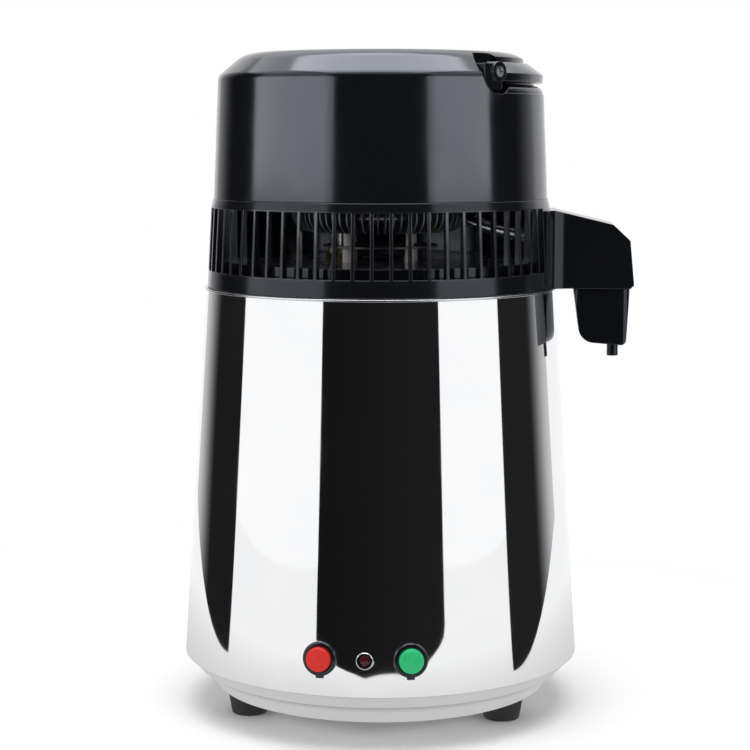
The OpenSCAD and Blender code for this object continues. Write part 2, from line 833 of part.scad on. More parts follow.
// The curls start and end square to their seats, over one wire diameter
spring_path = concat(
    [[spring_r, 0, spring_low]],
    [for (i = [0:spring_curls * spring_rings])
        let (t = i / (spring_curls * spring_rings), a = 360 * spring_curls * t)
        [spring_r * cos(a), spring_r * sin(a),
            spring_low + 2 * wire_r + t * (spring_high - spring_low - 4 * wire_r)]],
    [[spring_r, 0, spring_high]]);
echo(spring_gap = least_gap(spring_path, wire_r, spring_rings / 2));

module button_spring(angle) color(steel_bright) on_shell(angle, control_z)
    tube(spring_path, wire_r, 6, [1, 0, 0]);

module stop_cap() color("#df2b27") button_cap(stop_angle);

module stop_bezel() button_bezel(stop_angle);

module stop_nut() button_nut(stop_angle);

module stop_switch() button_switch(stop_angle);

module stop_spring() button_spring(stop_angle);

module start_cap() color("#2fbf78") button_cap(start_angle);

module start_bezel() button_bezel(start_angle);

module start_nut() button_nut(start_angle);

module start_switch() button_switch(start_angle);

module start_spring() button_spring(start_angle);

module lamp_bezel() color(steel_bright) on_shell(0, control_z) difference() {
    union() {
        rotate_extrude() polygon(rounded([
            [0, run_gap], [lamp_d / 2, run_gap], [lamp_d / 2 - lamp_draft, lamp_h, lamp_edge_r], [0, lamp_h]
        ], 4));
        disc(lamp_barrel_d / 2, -lamp_barrel_l, run_gap);
    }
    disc(lens_d / 2, -lamp_barrel_l - over, lamp_h + over);
}

module lamp_lens() color("#8e1c1c") on_shell(0, control_z) rotate_extrude() polygon(rounded([
    [0, -lens_depth], [lens_d / 2, -lens_depth],
    [lens_d / 2, lamp_h - lens_sink - lamp_draft, lens_edge_r], [0, lamp_h - lens_sink]
]));

module lamp_body() color("#d8d2c4") on_shell(0, control_z) {
    disc(lens_d / 2, -lamp_barrel_l, -lens_depth);
    for (s = [-1, 1]) translate([s * lead_x, 0, -lamp_barrel_l - lead_l]) cylinder(d = lead_d, h = lead_l);
}

module lamp_nut() color(steel_bright) on_shell(0, control_z) translate([0, 0, nut_z - nut_h])
    hex_nut(lamp_nut_across, lamp_barrel_d, nut_h);

// Head: steam lid and vent ring

module lid_seal() color("#d9d9d4") revolve([
    [tank_r, rim_z], [tank_r + seal_w, rim_z], [tank_r + seal_w, lid_z], [tank_r, lid_z]
]);

module steam_lid() color(steel_bright) difference() {
    revolve(rounded([
        [0, pan_z - lid_t], [0, pan_z], [pan_r, pan_z, pan_edge_r], [pan_r, lid_shelf_z],
        [brim_r, lid_shelf_z], [brim_r, lid_z], [pan_r - lid_t, lid_z],
        [pan_r - lid_t, pan_z - lid_t, pan_edge_r - lid_t]
    ]));
    translate([-riser_r, 0, 0]) disc(tube_r + fin_gap, pan_z - lid_t - over, pan_z + over);
    for (a = lid_screw_angles) at_angle(a, lid_screw_r, 0)
        disc(screw_d / 2, lid_z - over, lid_shelf_z + over);
}

module lid_screws() color(steel_bright) for (a = lid_screw_angles)
    at_angle(a, lid_screw_r, lid_shelf_z + lid_shelf_t) rotate([180, 0, 0])
        screw(screw_d, lid_t + lid_shelf_t, screw_head_d, screw_head_h);

module steam_fitting() color(brass) translate([-riser_r, 0, pan_z]) difference() {
    union() {
        cylinder(r = tube_r + fitting_wall + fitting_flat, h = fitting_h / 2, $fn = 6);
        cylinder(r = tube_r + fitting_wall, h = fitting_h);
    }
    disc(tube_r + fin_gap, -over, fitting_h + over);
}

spout_half_angle = asin((spout_half_w + spout_blend_r) / (vent_r + spout_blend_r));
sill_t = 1.5;
rib_step = 0.4;
rib_top_z = slot_top_z + rib_step;
rib_in_r = vent_radius(slot_z) - rib_depth;
slot_in_r = (rib_in_r + pan_collar_r) / 2;
sill_in_r = vent_radius(slot_z) - vent_wall;
cap_in_r = vent_radius(slot_top_z) - vent_wall;
dome_shelf_r = vent_top_r - dome_shelf_w;
spout_pad = vent_wall + rib_step;

// One slot between two ribs, cut right through the ring
module vent_slots() {
    pitch = 360 / rib_count;
    slot_w = 2 * vent_radius(slot_z) * sin(pitch / 2) - rib_w;
    for (i = [0:rib_count - 1]) {
        a = rib_phase + (i + 0.5) * pitch;
        if (abs(a - spout_angle) > spout_half_angle) at_angle(a, vent_r, slot_z)
            block(-slot_w / 2, slot_w / 2, -rib_depth, vent_r - slot_in_r, 0, slot_top_z - slot_z);
    }
}

// The collar rises to the dome's shelf at the back, so that warm air leaves at the front and the sides
module vent_baffle() {
    mid_r = pan_collar_r - pan_collar_t / 2;
    sector(180 - baffle_near_angle, baffle_near_angle + baffle_far_angle, [
        [mid_r - baffle_t / 2, pan_z], [mid_r + baffle_t / 2, pan_z],
        [mid_r + baffle_t / 2, dome_shelf_z + sill_t], [mid_r - baffle_t / 2, dome_shelf_z + sill_t]
    ]);
}

module vent_ring_blank() {
    vent_baffle();
    revolve([
        [vent_r - vent_wall, vent_z], [vent_r, vent_z], [vent_radius(rib_top_z), rib_top_z],
        [vent_top_r - vent_bevel, vent_top_z],
        [dome_shelf_r, vent_top_z], [dome_shelf_r, dome_shelf_z], [cap_in_r, dome_shelf_z],
        [cap_in_r, rib_top_z], [rib_in_r, rib_top_z], [rib_in_r, slot_z - sill_t],
        [sill_in_r, slot_z - sill_t],
        [sill_in_r, lid_shelf_top_z], [pan_collar_r, lid_shelf_top_z], [pan_collar_r, pan_z + pan_collar_h],
        [pan_r + slip_gap, pan_z + pan_collar_h], [pan_r + slip_gap, lid_shelf_z],
        [vent_r - vent_wall, lid_shelf_z]
    ]);
}

module vent_ring() color(plastic_black) difference() {
    vent_ring_blank();
    vent_slots();
    sector(spout_angle - spout_half_angle, 2 * spout_half_angle, [
        [slot_in_r, slot_z + sill_t], [vent_radius(slot_z) - spout_pad, slot_z + sill_t],
        [vent_radius(slot_top_z) - spout_pad, slot_top_z + sill_t],
        [slot_in_r, slot_top_z + sill_t]
    ]);
    for (a = lid_screw_angles) at_angle(a, lid_screw_r, 0)
        disc(screw_d / 2 + slip_gap, lid_shelf_z - over, lid_shelf_top_z + over);
    for (a = dome_screw_angles) at_angle(a, dome_screw_r, 0)
        disc(screw_d / 2 + slip_gap, dome_shelf_z - over, vent_top_z + over);
    outlet_passage();
    spout_screw_holes(screw_d + 2 * slip_gap);
}

// Dome cover with its handle recess

module dome_solid(inset) {
    foot_z = vent_top_z - (inset > 0 ? over : 0);
    revolve(rounded([
        [0, foot_z], [dome_r - inset, foot_z], [wall_r - inset, wall_z, crease_r],
        [crown_edge_r - inset / 2, top_z - inset, crown_r], [0, top_z - inset]
    ], 8));
}

module handle_recess(grow) {
    floor_z = bail_z - move_gap - grow;
    gap_z = bail_z - finger_gap - grow;
    edge_r = dome_r + over;
    round_r = 5;
    round_steps = 6;
    step_r = bail_in_r + bail_ledge - grow;
    sector(handle_angle, 180, concat(
        [[groove_r - grow, top_z + over], [groove_r - grow, floor_z], [step_r, floor_z], [step_r, gap_z]],
        grow > 0 ? [[edge_r, gap_z]] : concat(
            [for (i = [0:round_steps])
                let (a = 90 * i / round_steps)
                [wall_r + round_r * (sin(a) - 1), gap_z + round_r * (cos(a) - 1)]],
            [[edge_r, gap_z - round_r]]),
        [[edge_r, top_z + over]]));
    for (a = pivot_angles) radial(a, pocket_in_r - grow, pivot_z)
        cylinder(r = pocket_r + grow, h = 2 * hub_l);
}

module dome_cover() color(plastic_black) difference() {
    union() {
        difference() {
            dome_solid(0);
            handle_recess(0);
            difference() {
                dome_solid(dome_wall);
                handle_recess(dome_wall);
            }
        }
        for (a = pivot_angles) radial(a, pocket_in_r - pivot_boss_l, pivot_z)
            cylinder(d = boss_d, h = pivot_boss_l - dome_wall / 2);
        for (a = dome_screw_angles) at_angle(a, dome_screw_r, vent_top_z) cylinder(d = boss_d, h = boss_h);
    }
    for (a = pivot_angles) radial(a, pocket_in_r - pivot_boss_l + pivot_floor_t, pivot_z)
        cylinder(d = pivot_d, h = pivot_boss_l);
    for (a = dome_screw_angles) at_angle(a, dome_screw_r, 0)
        disc(screw_d / 2, vent_top_z - over, dome_shelf_z + screw_l + run_gap);
    for (i = [0:top_slots - 1]) rotate([0, 0, i * 360 / top_slots])
        block(top_slot_in, top_slot_out, -top_slot_w / 2, top_slot_w / 2,
            top_z - 2 * dome_wall, top_z + over);
    on_dome_back() fan_inlet_core(slip_gap, -fan_recess_depth, fan_recess_depth);
}

module dome_screws() color(steel_bright) for (a = dome_screw_angles)
    at_angle(a, dome_screw_r, dome_shelf_z) screw(screw_d, screw_l, screw_head_d, screw_head_h);

// Fan inlet in the back of the dome

fan_inlet_z = vent_top_z + fan_inlet_h;
dome_back_r = dome_r - fan_inlet_h * dome_lean / dome_wall_h;
fan_inlet_out = 2;
fan_inlet_brim = 2;
fan_recess_depth = 11;
fan_pin_d = 2.4;
fan_pin_x = 4.2;
fan_pin_tail = 6;

module on_dome_back() {
    radial(rear_angle, dome_back_r, fan_inlet_z) children();
}

module fan_inlet_core(extra, z0, z1) {
    x = fan_recess_w / 2 + inlet_wall + extra;
    y = fan_recess_h / 2 + inlet_wall + extra;
    block(-x, x, -y, y, z0, z1);
}

module fan_inlet() color("#2a2a2c") difference() {
    union() {
        on_dome_back() fan_inlet_core(0, fan_inlet_out - fan_recess_depth - inlet_wall, fan_inlet_out);
        difference() {
            on_dome_back() fan_inlet_core(fan_inlet_brim, -fan_inlet_out, fan_inlet_out);
            dome_solid(-slip_gap);
        }
    }
    on_dome_back() translate([0, 0, fan_inlet_out - fan_recess_depth])
        block(-fan_recess_w / 2, fan_recess_w / 2, -fan_recess_h / 2, fan_recess_h / 2,
            0, 2 * fan_recess_depth);
    on_dome_back() for (s = [-1, 1]) translate([s * fan_pin_x, 0, -2 * fan_recess_depth])
        cylinder(d = fan_pin_d, h = 3 * fan_recess_depth);
}

module fan_inlet_pins() color(steel_bright) on_dome_back() for (s = [-1, 1])
    translate([s * fan_pin_x, 0, 0])
        disc(fan_pin_d / 2, fan_inlet_out - fan_recess_depth - inlet_wall - fan_pin_tail,
            fan_inlet_out - pin_tip);

// Carry handle, folded down in its recess

module carry_handle() color(plastic_black) difference() {
    union() {
        slope = shoulder_h / shoulder_run;
        sector(handle_angle, 180, rounded([
            [bail_in_r, bail_z], [bail_out_r - bail_draft, bail_z, bail_edge_r],
            [bail_out_r, wall_z + bail_draft, bail_edge_r],
            [bail_in_r, wall_z + bail_w * slope - bail_edge_r, 2 * bail_edge_r]
        ], 4));
        for (i = [0, 1]) radial(pivot_angles[i], hub_in_r, pivot_z) mirror([i, 0, 0]) {
            cylinder(r = hub_r, h = hub_l);
            intersection() {
                cylinder(r = nose_sweep_r, h = hub_l - nose_setback);
                block(-nose_reach, nose_heel, -nose_drop, hub_r - nose_setback, 0, hub_l - nose_setback);
            }
        }
    }
    for (a = pivot_angles) radial(a, hub_in_r, pivot_z) {
        disc(pivot_d / 2 + run_gap, -over, hub_l + over);
        disc(pivot_head_d / 2 + move_gap, hub_l - pivot_head_h, hub_l + over);
    }
}

module handle_screws() color(steel_bright) for (a = pivot_angles)
    radial(a, wall_r - pivot_head_h + pivot_head_out, pivot_z) rotate([180, 0, 0])
        screw(pivot_d, pivot_l, pivot_head_d, pivot_head_h);

// Spout arm and filter cup, reaching along +X

// The screws' heads sit flat inside the round wall of the ring
spout_screw_sag = vent_r - sqrt(vent_r * vent_r - pow(spout_screw_y + screw_head_d / 2, 2));
spout_screw_seat = vent_radius(spout_screw_z) - spout_pad - spout_screw_sag;
spout_screw_l = vent_wall + 6;

// Half of the blend between the spout's side and the vent ring, seen from above
module spout_blend() {
    far = vent_r + spout_blend_r;
    y = spout_half_w + spout_blend_r;
    x = sqrt(far * far - y * y);
    difference() {
        polygon([
            [x - spout_blend_r, spout_half_w - over], [x, spout_half_w - over], [x, y],
            [x * vent_r / far, y * vent_r / far], [x * vent_r / far - spout_root_t, y * vent_r / far]
        ]);
        translate([x, y]) circle(r = spout_blend_r);
    }
}

// The spout's side outline, from the vent ring outwards
function spout_side(inset, root_r) = [
    [root_r, spout_z + inset], [spout_end_r - spout_lip - inset, spout_z + inset],
    [spout_end_r - inset, spout_z + spout_lip + inset],
    [spout_end_r - spout_draft - inset, spout_z + spout_end_h - inset / 2],
    [spout_end_r - spout_bevel_l - inset / 2, spout_z + spout_bevel_h - inset],
    [vent_r, spout_z + spout_root_h - inset], [root_r, spout_z + spout_root_h - inset]
];

module spout_prism(half_w, points) {
    translate([0, half_w, 0]) rotate([90, 0, 0]) linear_extrude(2 * half_w) polygon(points);
}

module spout_arm() color(plastic_black) difference() {
    union() {
        difference() {
            intersection() {
                union() {
                    block(vent_r - spout_root_t, spout_end_r + over, -spout_half_w, spout_half_w,
                        vent_z - over, vent_top_z);
                    translate([0, 0, vent_z - over]) linear_extrude(vent_h + over) {
                        spout_blend();
                        mirror([0, 1]) spout_blend();
                    }
                }
                spout_prism(vent_r, spout_side(0, vent_r / 2));
            }
            spout_prism(spout_half_w - spout_wall, spout_side(spout_wall, vent_r + spout_wall));
        }
        for (s = [-1, 1]) translate([vent_r, s * spout_screw_y, spout_screw_z]) rotate([0, 90, 0])
            cylinder(d = boss_d, h = screw_l);
    }
    revolve([
        [0, vent_z - 2 * over], [vent_radius(vent_z - 2 * over), vent_z - 2 * over],
        [vent_radius(vent_top_z), vent_top_z], [0, vent_top_z]
    ]);
    disc(rim_r + move_gap, 0, rim_z + move_gap);
    cup_plan(collar_in - move_gap, spout_z - over, spout_z + spout_wall + over);
    outlet_passage();
    spout_screw_holes(screw_d);
}

module spout_screw_holes(d) {
    for (s = [-1, 1]) translate([spout_screw_seat, s * spout_screw_y, spout_screw_z]) rotate([0, 90, 0])
        disc(d / 2, -over, spout_screw_l + run_gap);
}

module spout_screws() color(steel_bright) for (s = [-1, 1])
    translate([spout_screw_seat, s * spout_screw_y, spout_screw_z]) rotate([0, 90, 0])
        screw(screw_d, spout_screw_l, screw_head_d, screw_head_h);

// The cup's plan, inset on all sides, between two heights
module cup_plan(inset, z0, z1) {
    r = cup_corner_r - inset;
    x0 = cup_in_r + inset;
    x1 = cup_out_r - inset;
    y = cup_half_w - inset;
    translate([0, 0, z0]) linear_extrude(z1 - z0)
        polygon(rounded([[x0, -y, r], [x1, -y, r], [x1, y, r], [x0, y, r]]));
}

// The cup's side outline: upright outside, swept in on the side of the body
module cup_body(inset) {
    bottom = cup_z - cup_h;
    x0 = cup_in_r + inset;
    x1 = cup_out_r - inset;
    intersection() {
        cup_plan(inset, bottom - over, cup_z + (inset > 0 ? over : 0));
        spout_prism(cup_half_w, rounded([
            [x0, cup_z + over], [x0 + cup_in_draft, bottom + inset + cup_rise, cup_sweep_r - inset],
            [x1 - cup_draft, bottom + inset, cup_edge_r], [x1, cup_z + over]
        ], 8));
    }
}

module filter_cup() color(plastic_black) difference() {
    union() {
        cup_body(0);
        cup_plan(collar_in, cup_z - over, cup_z + collar_h);
        translate([spigot_r, 0, 0]) disc(spigot_d / 2, spigot_z, cup_z - cup_h + 1.5 * cup_wall);
    }
    cup_body(cup_wall);
    cup_plan(collar_in + cup_wall, cup_z - 3 * over, cup_z + collar_h + over);
    translate([spigot_r, 0, 0]) disc(spigot_bore / 2, spigot_z - over, cup_z - cup_h + 3 * cup_wall);
}

module carbon_cartridge() color("#d6d3cb") {
    inset = collar_in + cup_wall + move_gap;
    seat_z = cup_z - cup_h + cup_wall + cup_rise + move_gap;
    hole_d = 2;
    hole_pitch = [4, 5];
    difference() {
        intersection() {
            cup_plan(inset, seat_z, seat_z + cartridge_h);
            cup_body(cup_wall + move_gap);
        }
        for (i = [-2:2], j = [-1:1]) translate([cup_mid_r + i * hole_pitch[0], j * hole_pitch[1], seat_z])
            disc(hole_d / 2, cartridge_h - hole_d, cartridge_h + over);
    }
}

// Condenser: one tube, up from the lid, round the coil and out to the spout

function coil_drop(a) =
    let (t = (a - coil_drop_start) / 360, n = floor(t))
    n + smooth(min(1, (t - n) * 360 / coil_drop_span));
function coil_point(a) = [
    coil_r * cos(a), coil_r * sin(a),
    coil_z + coil_pitch * (coil_drop(coil_end) - coil_drop(a))
];
function coil_heading(a) = [-sin(a), cos(a), 0];

riser_bend = 12;
riser_top = coil_point(coil_start)[2] - riser_bend;
outlet_swing = 26;
outlet_run = 33;
outlet_mouth_r = vent_r - 2 * vent_wall;
outlet_start = coil_point(coil_end);
outlet_path = concat(
    [for (i = [1:8]) bezier(outlet_start, outlet_start + [0, outlet_swing, 0],
        [vent_r - outlet_run, 0, outlet_z], [outlet_mouth_r, 0, outlet_z], i / 8)],
    [[vent_r + vent_wall, 0, outlet_z]],
    [for (i = [0:4]) [outlet_drop_r - outlet_bend + outlet_bend * sin(22.5 * i), 0,
        outlet_z - outlet_bend + outlet_bend * cos(22.5 * i)]],
    [[outlet_drop_r, 0, outlet_z - outlet_bend - tube_d]]);
coil_steps = round(coil_rings * (coil_end - coil_start) / 360);
coil_path = [for (i = [0:coil_steps]) coil_point(coil_start + i * (coil_end - coil_start) / coil_steps)];
riser_path = concat(
    [[-riser_r, 0, pan_z - lid_t], [-riser_r, 0, riser_top]],
    [for (i = [1:5]) bezier([-riser_r, 0, riser_top], [-riser_r, 0, riser_top + riser_bend],
        coil_path[0] - riser_bend * coil_heading(coil_start), coil_path[0], i / 6)]);
condenser_path = concat(riser_path, coil_path, outlet_path);
echo(coil_gap = least_gap(coil_path, tube_r, coil_rings / 2));

module outlet_passage() {
    translate([vent_r, 0, outlet_z]) rotate([0, 90, 0])
        cylinder(r = tube_r + slip_gap, h = 4 * spout_root_t, center = true);
}

module condenser_tube() color(steel_bright) tube(condenser_path, tube_r, 8, [0, 1, 0]);

// A fin's direction along the tube, at a share of the way from one point of the coil to the next
function fin_heading(i, t) = unit(tangent(coil_path, i) * (1 - t) + tangent(coil_path, i + 1) * t);

// Where the tube slopes, the fins are smaller, so that they stay clear of the next turn
module condenser_fins() color("#aeb2b7") for (i = [1:coil_steps - 2]) {
    run = coil_path[i + 1] - coil_path[i];
    count = round(norm(run) / fin_pitch);
    for (k = [0:count - 1]) {
        t = (k + 0.5) / count;
        ahead = fin_heading(i, t);
        translate(coil_path[i] + t * run) rotate([0, acos(ahead[2]), atan2(ahead[1], ahead[0])])
            difference() {
                cylinder(d = fin_d * norm(corner(ahead)), h = fin_t, center = true);
                cylinder(r = tube_r + fin_gap, h = 2 * fin_t, center = true);
            }
    }
}

// Fan drive on four posts inside the coil

post_angles = [for (i = [0:3]) 45 + i * 90];

module fan_posts() color("#d5d7d6") for (a = post_angles) at_angle(a, post_circle_r, 0) {
    disc(post_d / 2, pan_z, shield_z);
    disc(post_neck_d / 2, shield_z, post_z);
    disc(screw_d / 2, post_z, motor_z);
}

module heat_shield() color("#1f1e1d") difference() {
    disc(shield_d / 2, shield_z, shield_z + shield_t);
    for (a = post_angles) at_angle(a, post_circle_r, 0)
        disc(post_neck_d / 2, shield_z - over, shield_z + shield_t + over);
    translate([-riser_r, 0, 0]) disc(tube_r + riser_room, shield_z - over, shield_z + shield_t + over);
}

module motor_plate() color(steel_satin) difference() {
    disc(post_circle_r + post_d / 2, post_z, motor_z);
    for (a = post_angles) at_angle(a, post_circle_r, 0) disc(screw_d / 2, post_z - over, motor_z + over);
    translate([-riser_r, 0, 0]) disc(tube_r + riser_room, post_z - over, motor_z + over);
}

module motor_can() color("#4a4c50") difference() {
    disc(motor_d / 2, motor_z, motor_top_z);
    disc(shaft_d / 2 + shaft_room, motor_z + shaft_foot, motor_top_z + over);
    disc(bush_d / 2, motor_top_z - bush_l, motor_top_z + over);
}

module motor_bush() color(brass) difference() {
    disc(bush_d / 2, motor_top_z - bush_l, motor_top_z);
    disc(shaft_d / 2 + run_gap, motor_z, motor_top_z + over);
}

module motor_shaft() color(steel_bright)
    disc(shaft_d / 2, motor_z + shaft_foot + run_gap, fan_hub_z + fan_hub_h + fan_nut_h);

module fan_blades() color("#33363a") difference() {
    union() {
        disc(fan_hub_d / 2, fan_hub_z, fan_hub_z + fan_hub_h);
        intersection() {
            disc(fan_d / 2, fan_mid_z - blade_half_h, fan_mid_z + blade_half_h);
            for (i = [0:blade_count - 1]) rotate([0, 0, i * 360 / blade_count])
                translate([0, 0, fan_mid_z]) rotate([blade_pitch, 0, 0])
                    block(fan_hub_d / 4, fan_d, -blade_w / 2, blade_w / 2, -blade_t / 2, blade_t / 2);
        }
    }
    disc(shaft_d / 2, fan_hub_z - fan_hub_h, fan_hub_z + 2 * fan_hub_h);
}

module fan_nut() color(steel_bright) translate([0, 0, fan_hub_z + fan_hub_h])
    hex_nut(shaft_d + fan_nut_wall, shaft_d, fan_nut_h);

outer_shell();
boiling_tank();
tank_floor();
heater_plate();
heater_ring();
thermostat();
thermal_cutout();
base_ring();
base_plate();
base_screws();
tie_stud();
tie_nut();
foot_front_left();
foot_front_right();
foot_rear();
foot_screws();
power_inlet();
inlet_pins();
stop_cap();
stop_bezel();
stop_nut();
stop_switch();
stop_spring();
start_cap();
start_bezel();
start_nut();
start_switch();
start_spring();
lamp_bezel();
lamp_lens();
lamp_body();
lamp_nut();
lid_seal();
steam_lid();
lid_screws();
steam_fitting();
vent_ring();
dome_cover();
dome_screws();
fan_inlet();
fan_inlet_pins();
carry_handle();
handle_screws();
spout_arm();
spout_screws();
filter_cup();
carbon_cartridge();
condenser_tube();
condenser_fins();
heat_shield();
fan_posts();
motor_plate();
motor_can();
motor_bush();
motor_shaft();
fan_blades();
fan_nut();
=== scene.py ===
import json
import math

import bpy
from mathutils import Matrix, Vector


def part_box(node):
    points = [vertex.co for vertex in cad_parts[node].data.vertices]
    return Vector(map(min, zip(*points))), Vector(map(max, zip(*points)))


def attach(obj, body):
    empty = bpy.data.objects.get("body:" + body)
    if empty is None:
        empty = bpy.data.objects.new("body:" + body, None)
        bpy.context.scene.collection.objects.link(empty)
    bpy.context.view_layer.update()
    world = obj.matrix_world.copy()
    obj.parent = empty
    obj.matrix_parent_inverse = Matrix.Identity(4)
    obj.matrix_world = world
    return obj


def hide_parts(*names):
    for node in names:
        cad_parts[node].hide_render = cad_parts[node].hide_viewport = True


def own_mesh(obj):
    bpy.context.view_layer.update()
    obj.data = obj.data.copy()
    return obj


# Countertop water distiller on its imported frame: polished boiler, black head, drip spout and filter cup
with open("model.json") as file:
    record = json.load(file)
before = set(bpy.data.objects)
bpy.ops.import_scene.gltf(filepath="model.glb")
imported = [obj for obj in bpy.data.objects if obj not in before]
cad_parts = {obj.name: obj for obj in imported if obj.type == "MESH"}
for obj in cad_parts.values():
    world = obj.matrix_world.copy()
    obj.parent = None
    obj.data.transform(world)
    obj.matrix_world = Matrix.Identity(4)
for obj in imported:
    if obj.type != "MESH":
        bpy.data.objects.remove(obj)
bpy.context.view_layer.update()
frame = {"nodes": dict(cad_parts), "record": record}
bodyOf = {node: body for body, nodes in frame["record"]["behaviour"]["bodies"].items() for node in nodes}
mm = 0.001
bpy.ops.object.select_all(action="DESELECT")
bpy.context.scene.view_settings.view_transform = "Standard"
print("frame loaded,", len(frame["nodes"]), "nodes")


# Camera, level with the head and a little to the right of the controls
cameraSetup = {
    "distance": 1.140,  # metres from the body's axis
    "height": 0.3295,
    "turn": 4.2,  # degrees from the front towards the spout
    "pitch": -6.99,
    "aside": 0.16,  # degrees, so that the body stands a little right of the middle
    "lens": 95.14,
}


def placeCamera(setup):
    turn = math.radians(setup["turn"])
    place = (setup["distance"] * math.sin(turn), -setup["distance"] * math.cos(turn), setup["height"])
    aim = (math.radians(90 + setup["pitch"]), 0, turn + math.radians(setup["aside"]))
    bpy.ops.object.camera_add(location=place, rotation=aim)
    bpy.context.object.data.lens = setup["lens"]
    bpy.context.scene.camera = bpy.context.object


placeCamera(cameraSetup)
print("camera placed")


def linear(hexColour):
    values = [int(hexColour[i:i + 2], 16) / 255 for i in (1, 3, 5)]
    return [v / 12.92 if v <= 0.04045 else ((v + 0.055) / 1.055) ** 2.4 for v in values] + [1]


def addNode(tree, kind, inputs, **settings):
    node = tree.nodes.new("ShaderNode" + kind)
    for name, value in settings.items():
        setattr(node, name, value)
    for socket, value in inputs.items():
        if isinstance(value, bpy.types.NodeSocket):
            tree.links.new(value, node.inputs[socket])
        else:
            node.inputs[socket].default_value = value
    return node


# A new material, its tree, its shader, and object coordinates stretched by a factor each way
def startMaterial(name, stretch=(1, 1, 1), **plain):
    material = bpy.data.materials.new(name)
    material.use_nodes = True
    tree = material.node_tree
    skin = tree.nodes["Principled BSDF"]
    for socket, value in plain.items():
        skin.inputs[socket].default_value = value
    place = addNode(tree, "TexCoord", {}).outputs["Object"]
    spread = addNode(tree, "Mapping", {"Vector": place, "Scale": stretch}).outputs["Vector"]
    return material, tree, skin, spread


# A slow pattern tints the surface and changes its roughness, and a fine one gives it relief
def wear(tree, skin, slow, fine, setup):
    usual = (0.3, 0.7)  # a noise mostly lies between these
    tones = [linear(tone) for tone in setup["tones"]]
    tint = addNode(tree, "Mix", {0: slow, 6: tones[0], 7: tones[1]}, data_type="RGBA")
    rough = addNode(tree, "MapRange", {"Value": slow, "From Min": usual[0], "From Max": usual[1],
                                       "To Min": setup["rough"][0], "To Max": setup["rough"][1]})
    relief = addNode(tree, "Bump", {"Height": fine, "Distance": setup["depth"] * mm})
    tree.links.new(tint.outputs[2], skin.inputs["Base Color"])
    tree.links.new(rough.outputs["Result"], skin.inputs["Roughness"])
    tree.links.new(relief.outputs["Normal"], skin.inputs["Normal"])
    return relief


# Pattern scale for a feature of this many millimetres
def per(size):
    return 1 / (size * mm)


# Mirror-polished stainless sheet: bright, with slow waves from rolling and a swell round each button's hole
def polishedSteel():
    setup = {
        "tones": ("#edeef0", "#f4f4f4"),
        "rough": (0.02, 0.05),
        "smudge": 40,
        "wave": 85,
        "depth": 0.035,
        "swellStart": 8,  # from the hole's middle
        "swellReach": 26,
        "swellDepth": 0.14,
    }
    material, tree, skin, place = startMaterial("polishedStainlessSteel", Metallic=1)
    smudge = addNode(tree, "TexNoise", {"Vector": place, "Scale": per(setup["smudge"]), "Detail": 4})
    wave = addNode(tree, "TexNoise", {"Vector": place, "Scale": per(setup["wave"]), "Detail": 1})
    relief = wear(tree, skin, smudge.outputs["Fac"], wave.outputs["Fac"], setup)
    for bezel in ("stop_bezel", "start_bezel"):  # the punch left the sheet a little proud
        low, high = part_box(bezel)
        away = addNode(tree, "VectorMath", {0: place, 1: tuple((low + high) / 2)}, operation="DISTANCE")
        swell = addNode(tree, "MapRange", {"Value": away.outputs["Value"], "To Min": 1, "To Max": 0,
                                           "From Min": setup["swellStart"] * mm,
                                           "From Max": setup["swellReach"] * mm},
                        interpolation_type="SMOOTHSTEP")
        relief = addNode(tree, "Bump", {"Height": swell.outputs["Result"], "Normal": relief.outputs["Normal"],
                                        "Distance": setup["swellDepth"] * mm})
    tree.links.new(relief.outputs["Normal"], skin.inputs["Normal"])
    return material


# Deep-drawn stainless: satin, with faint drawing marks up the wall
def drawnSteel():
    setup = {"tones": ("#b9babd", "#c9cacc"), "rough": (0.18, 0.3), "cloud": 18, "mark": 0.9, "depth": 0.01}
    material, tree, skin, place = startMaterial("drawnStainlessSteel", (1, 1, 0.08), Metallic=1)
    cloud = addNode(tree, "TexNoise", {"Vector": place, "Scale": per(setup["cloud"]), "Detail": 3})
    mark = addNode(tree, "TexNoise", {"Vector": place, "Scale": per(setup["mark"]), "Detail": 2})
    wear(tree, skin, cloud.outputs["Fac"], mark.outputs["Fac"], setup)
    return material


# Blasted and lacquered aluminium: pale, fine-grained, with a broad soft sheen, and painted shade that darkens
# its corners
def blastedAluminium():
    setup = {
        "tones": ("#f1f1f3", "#f7f7f8"),
        "rough": (0.4, 0.5),
        "cloud": 25,
        "grain": 0.8,  # coarser than blasting grit, so that it shows
        "depth": 0.012,
        # colour of the painted shade in the corners
        "paintedShade": "#2e2f31",
        "paintedShadeReach": 6,
        "paintedShadeFull": 0.8,  # how open a corner is that gets the full painted shade
    }
    material, tree, skin, place = startMaterial("blastedAluminium", Metallic=1)
    cloud = addNode(tree, "TexNoise", {"Vector": place, "Scale": per(setup["cloud"]), "Detail": 5})
    grain = addNode(tree, "TexNoise", {"Vector": place, "Scale": per(setup["grain"]), "Detail": 2})
    wear(tree, skin, cloud.outputs["Fac"], grain.outputs["Fac"], setup)
    # Painted shade: ambient occlusion darkens the colour in corners and under the step, where shade falls
    unshadedTone = skin.inputs["Base Color"].links[0].from_socket
    corner = addNode(tree, "AmbientOcclusion", {"Distance": setup["paintedShadeReach"] * mm}, samples=8)
    unshadedShare = addNode(tree, "MapRange", {"Value": corner.outputs["AO"], "From Min": setup["paintedShadeFull"],
                                      "From Max": 1}).outputs["Result"]
    paintedShadeMix = addNode(tree, "Mix", {0: unshadedShare, 6: linear(setup["paintedShade"]), 7: unshadedTone}, data_type="RGBA")
    tree.links.new(paintedShadeMix.outputs[2], skin.inputs["Base Color"])
    return material


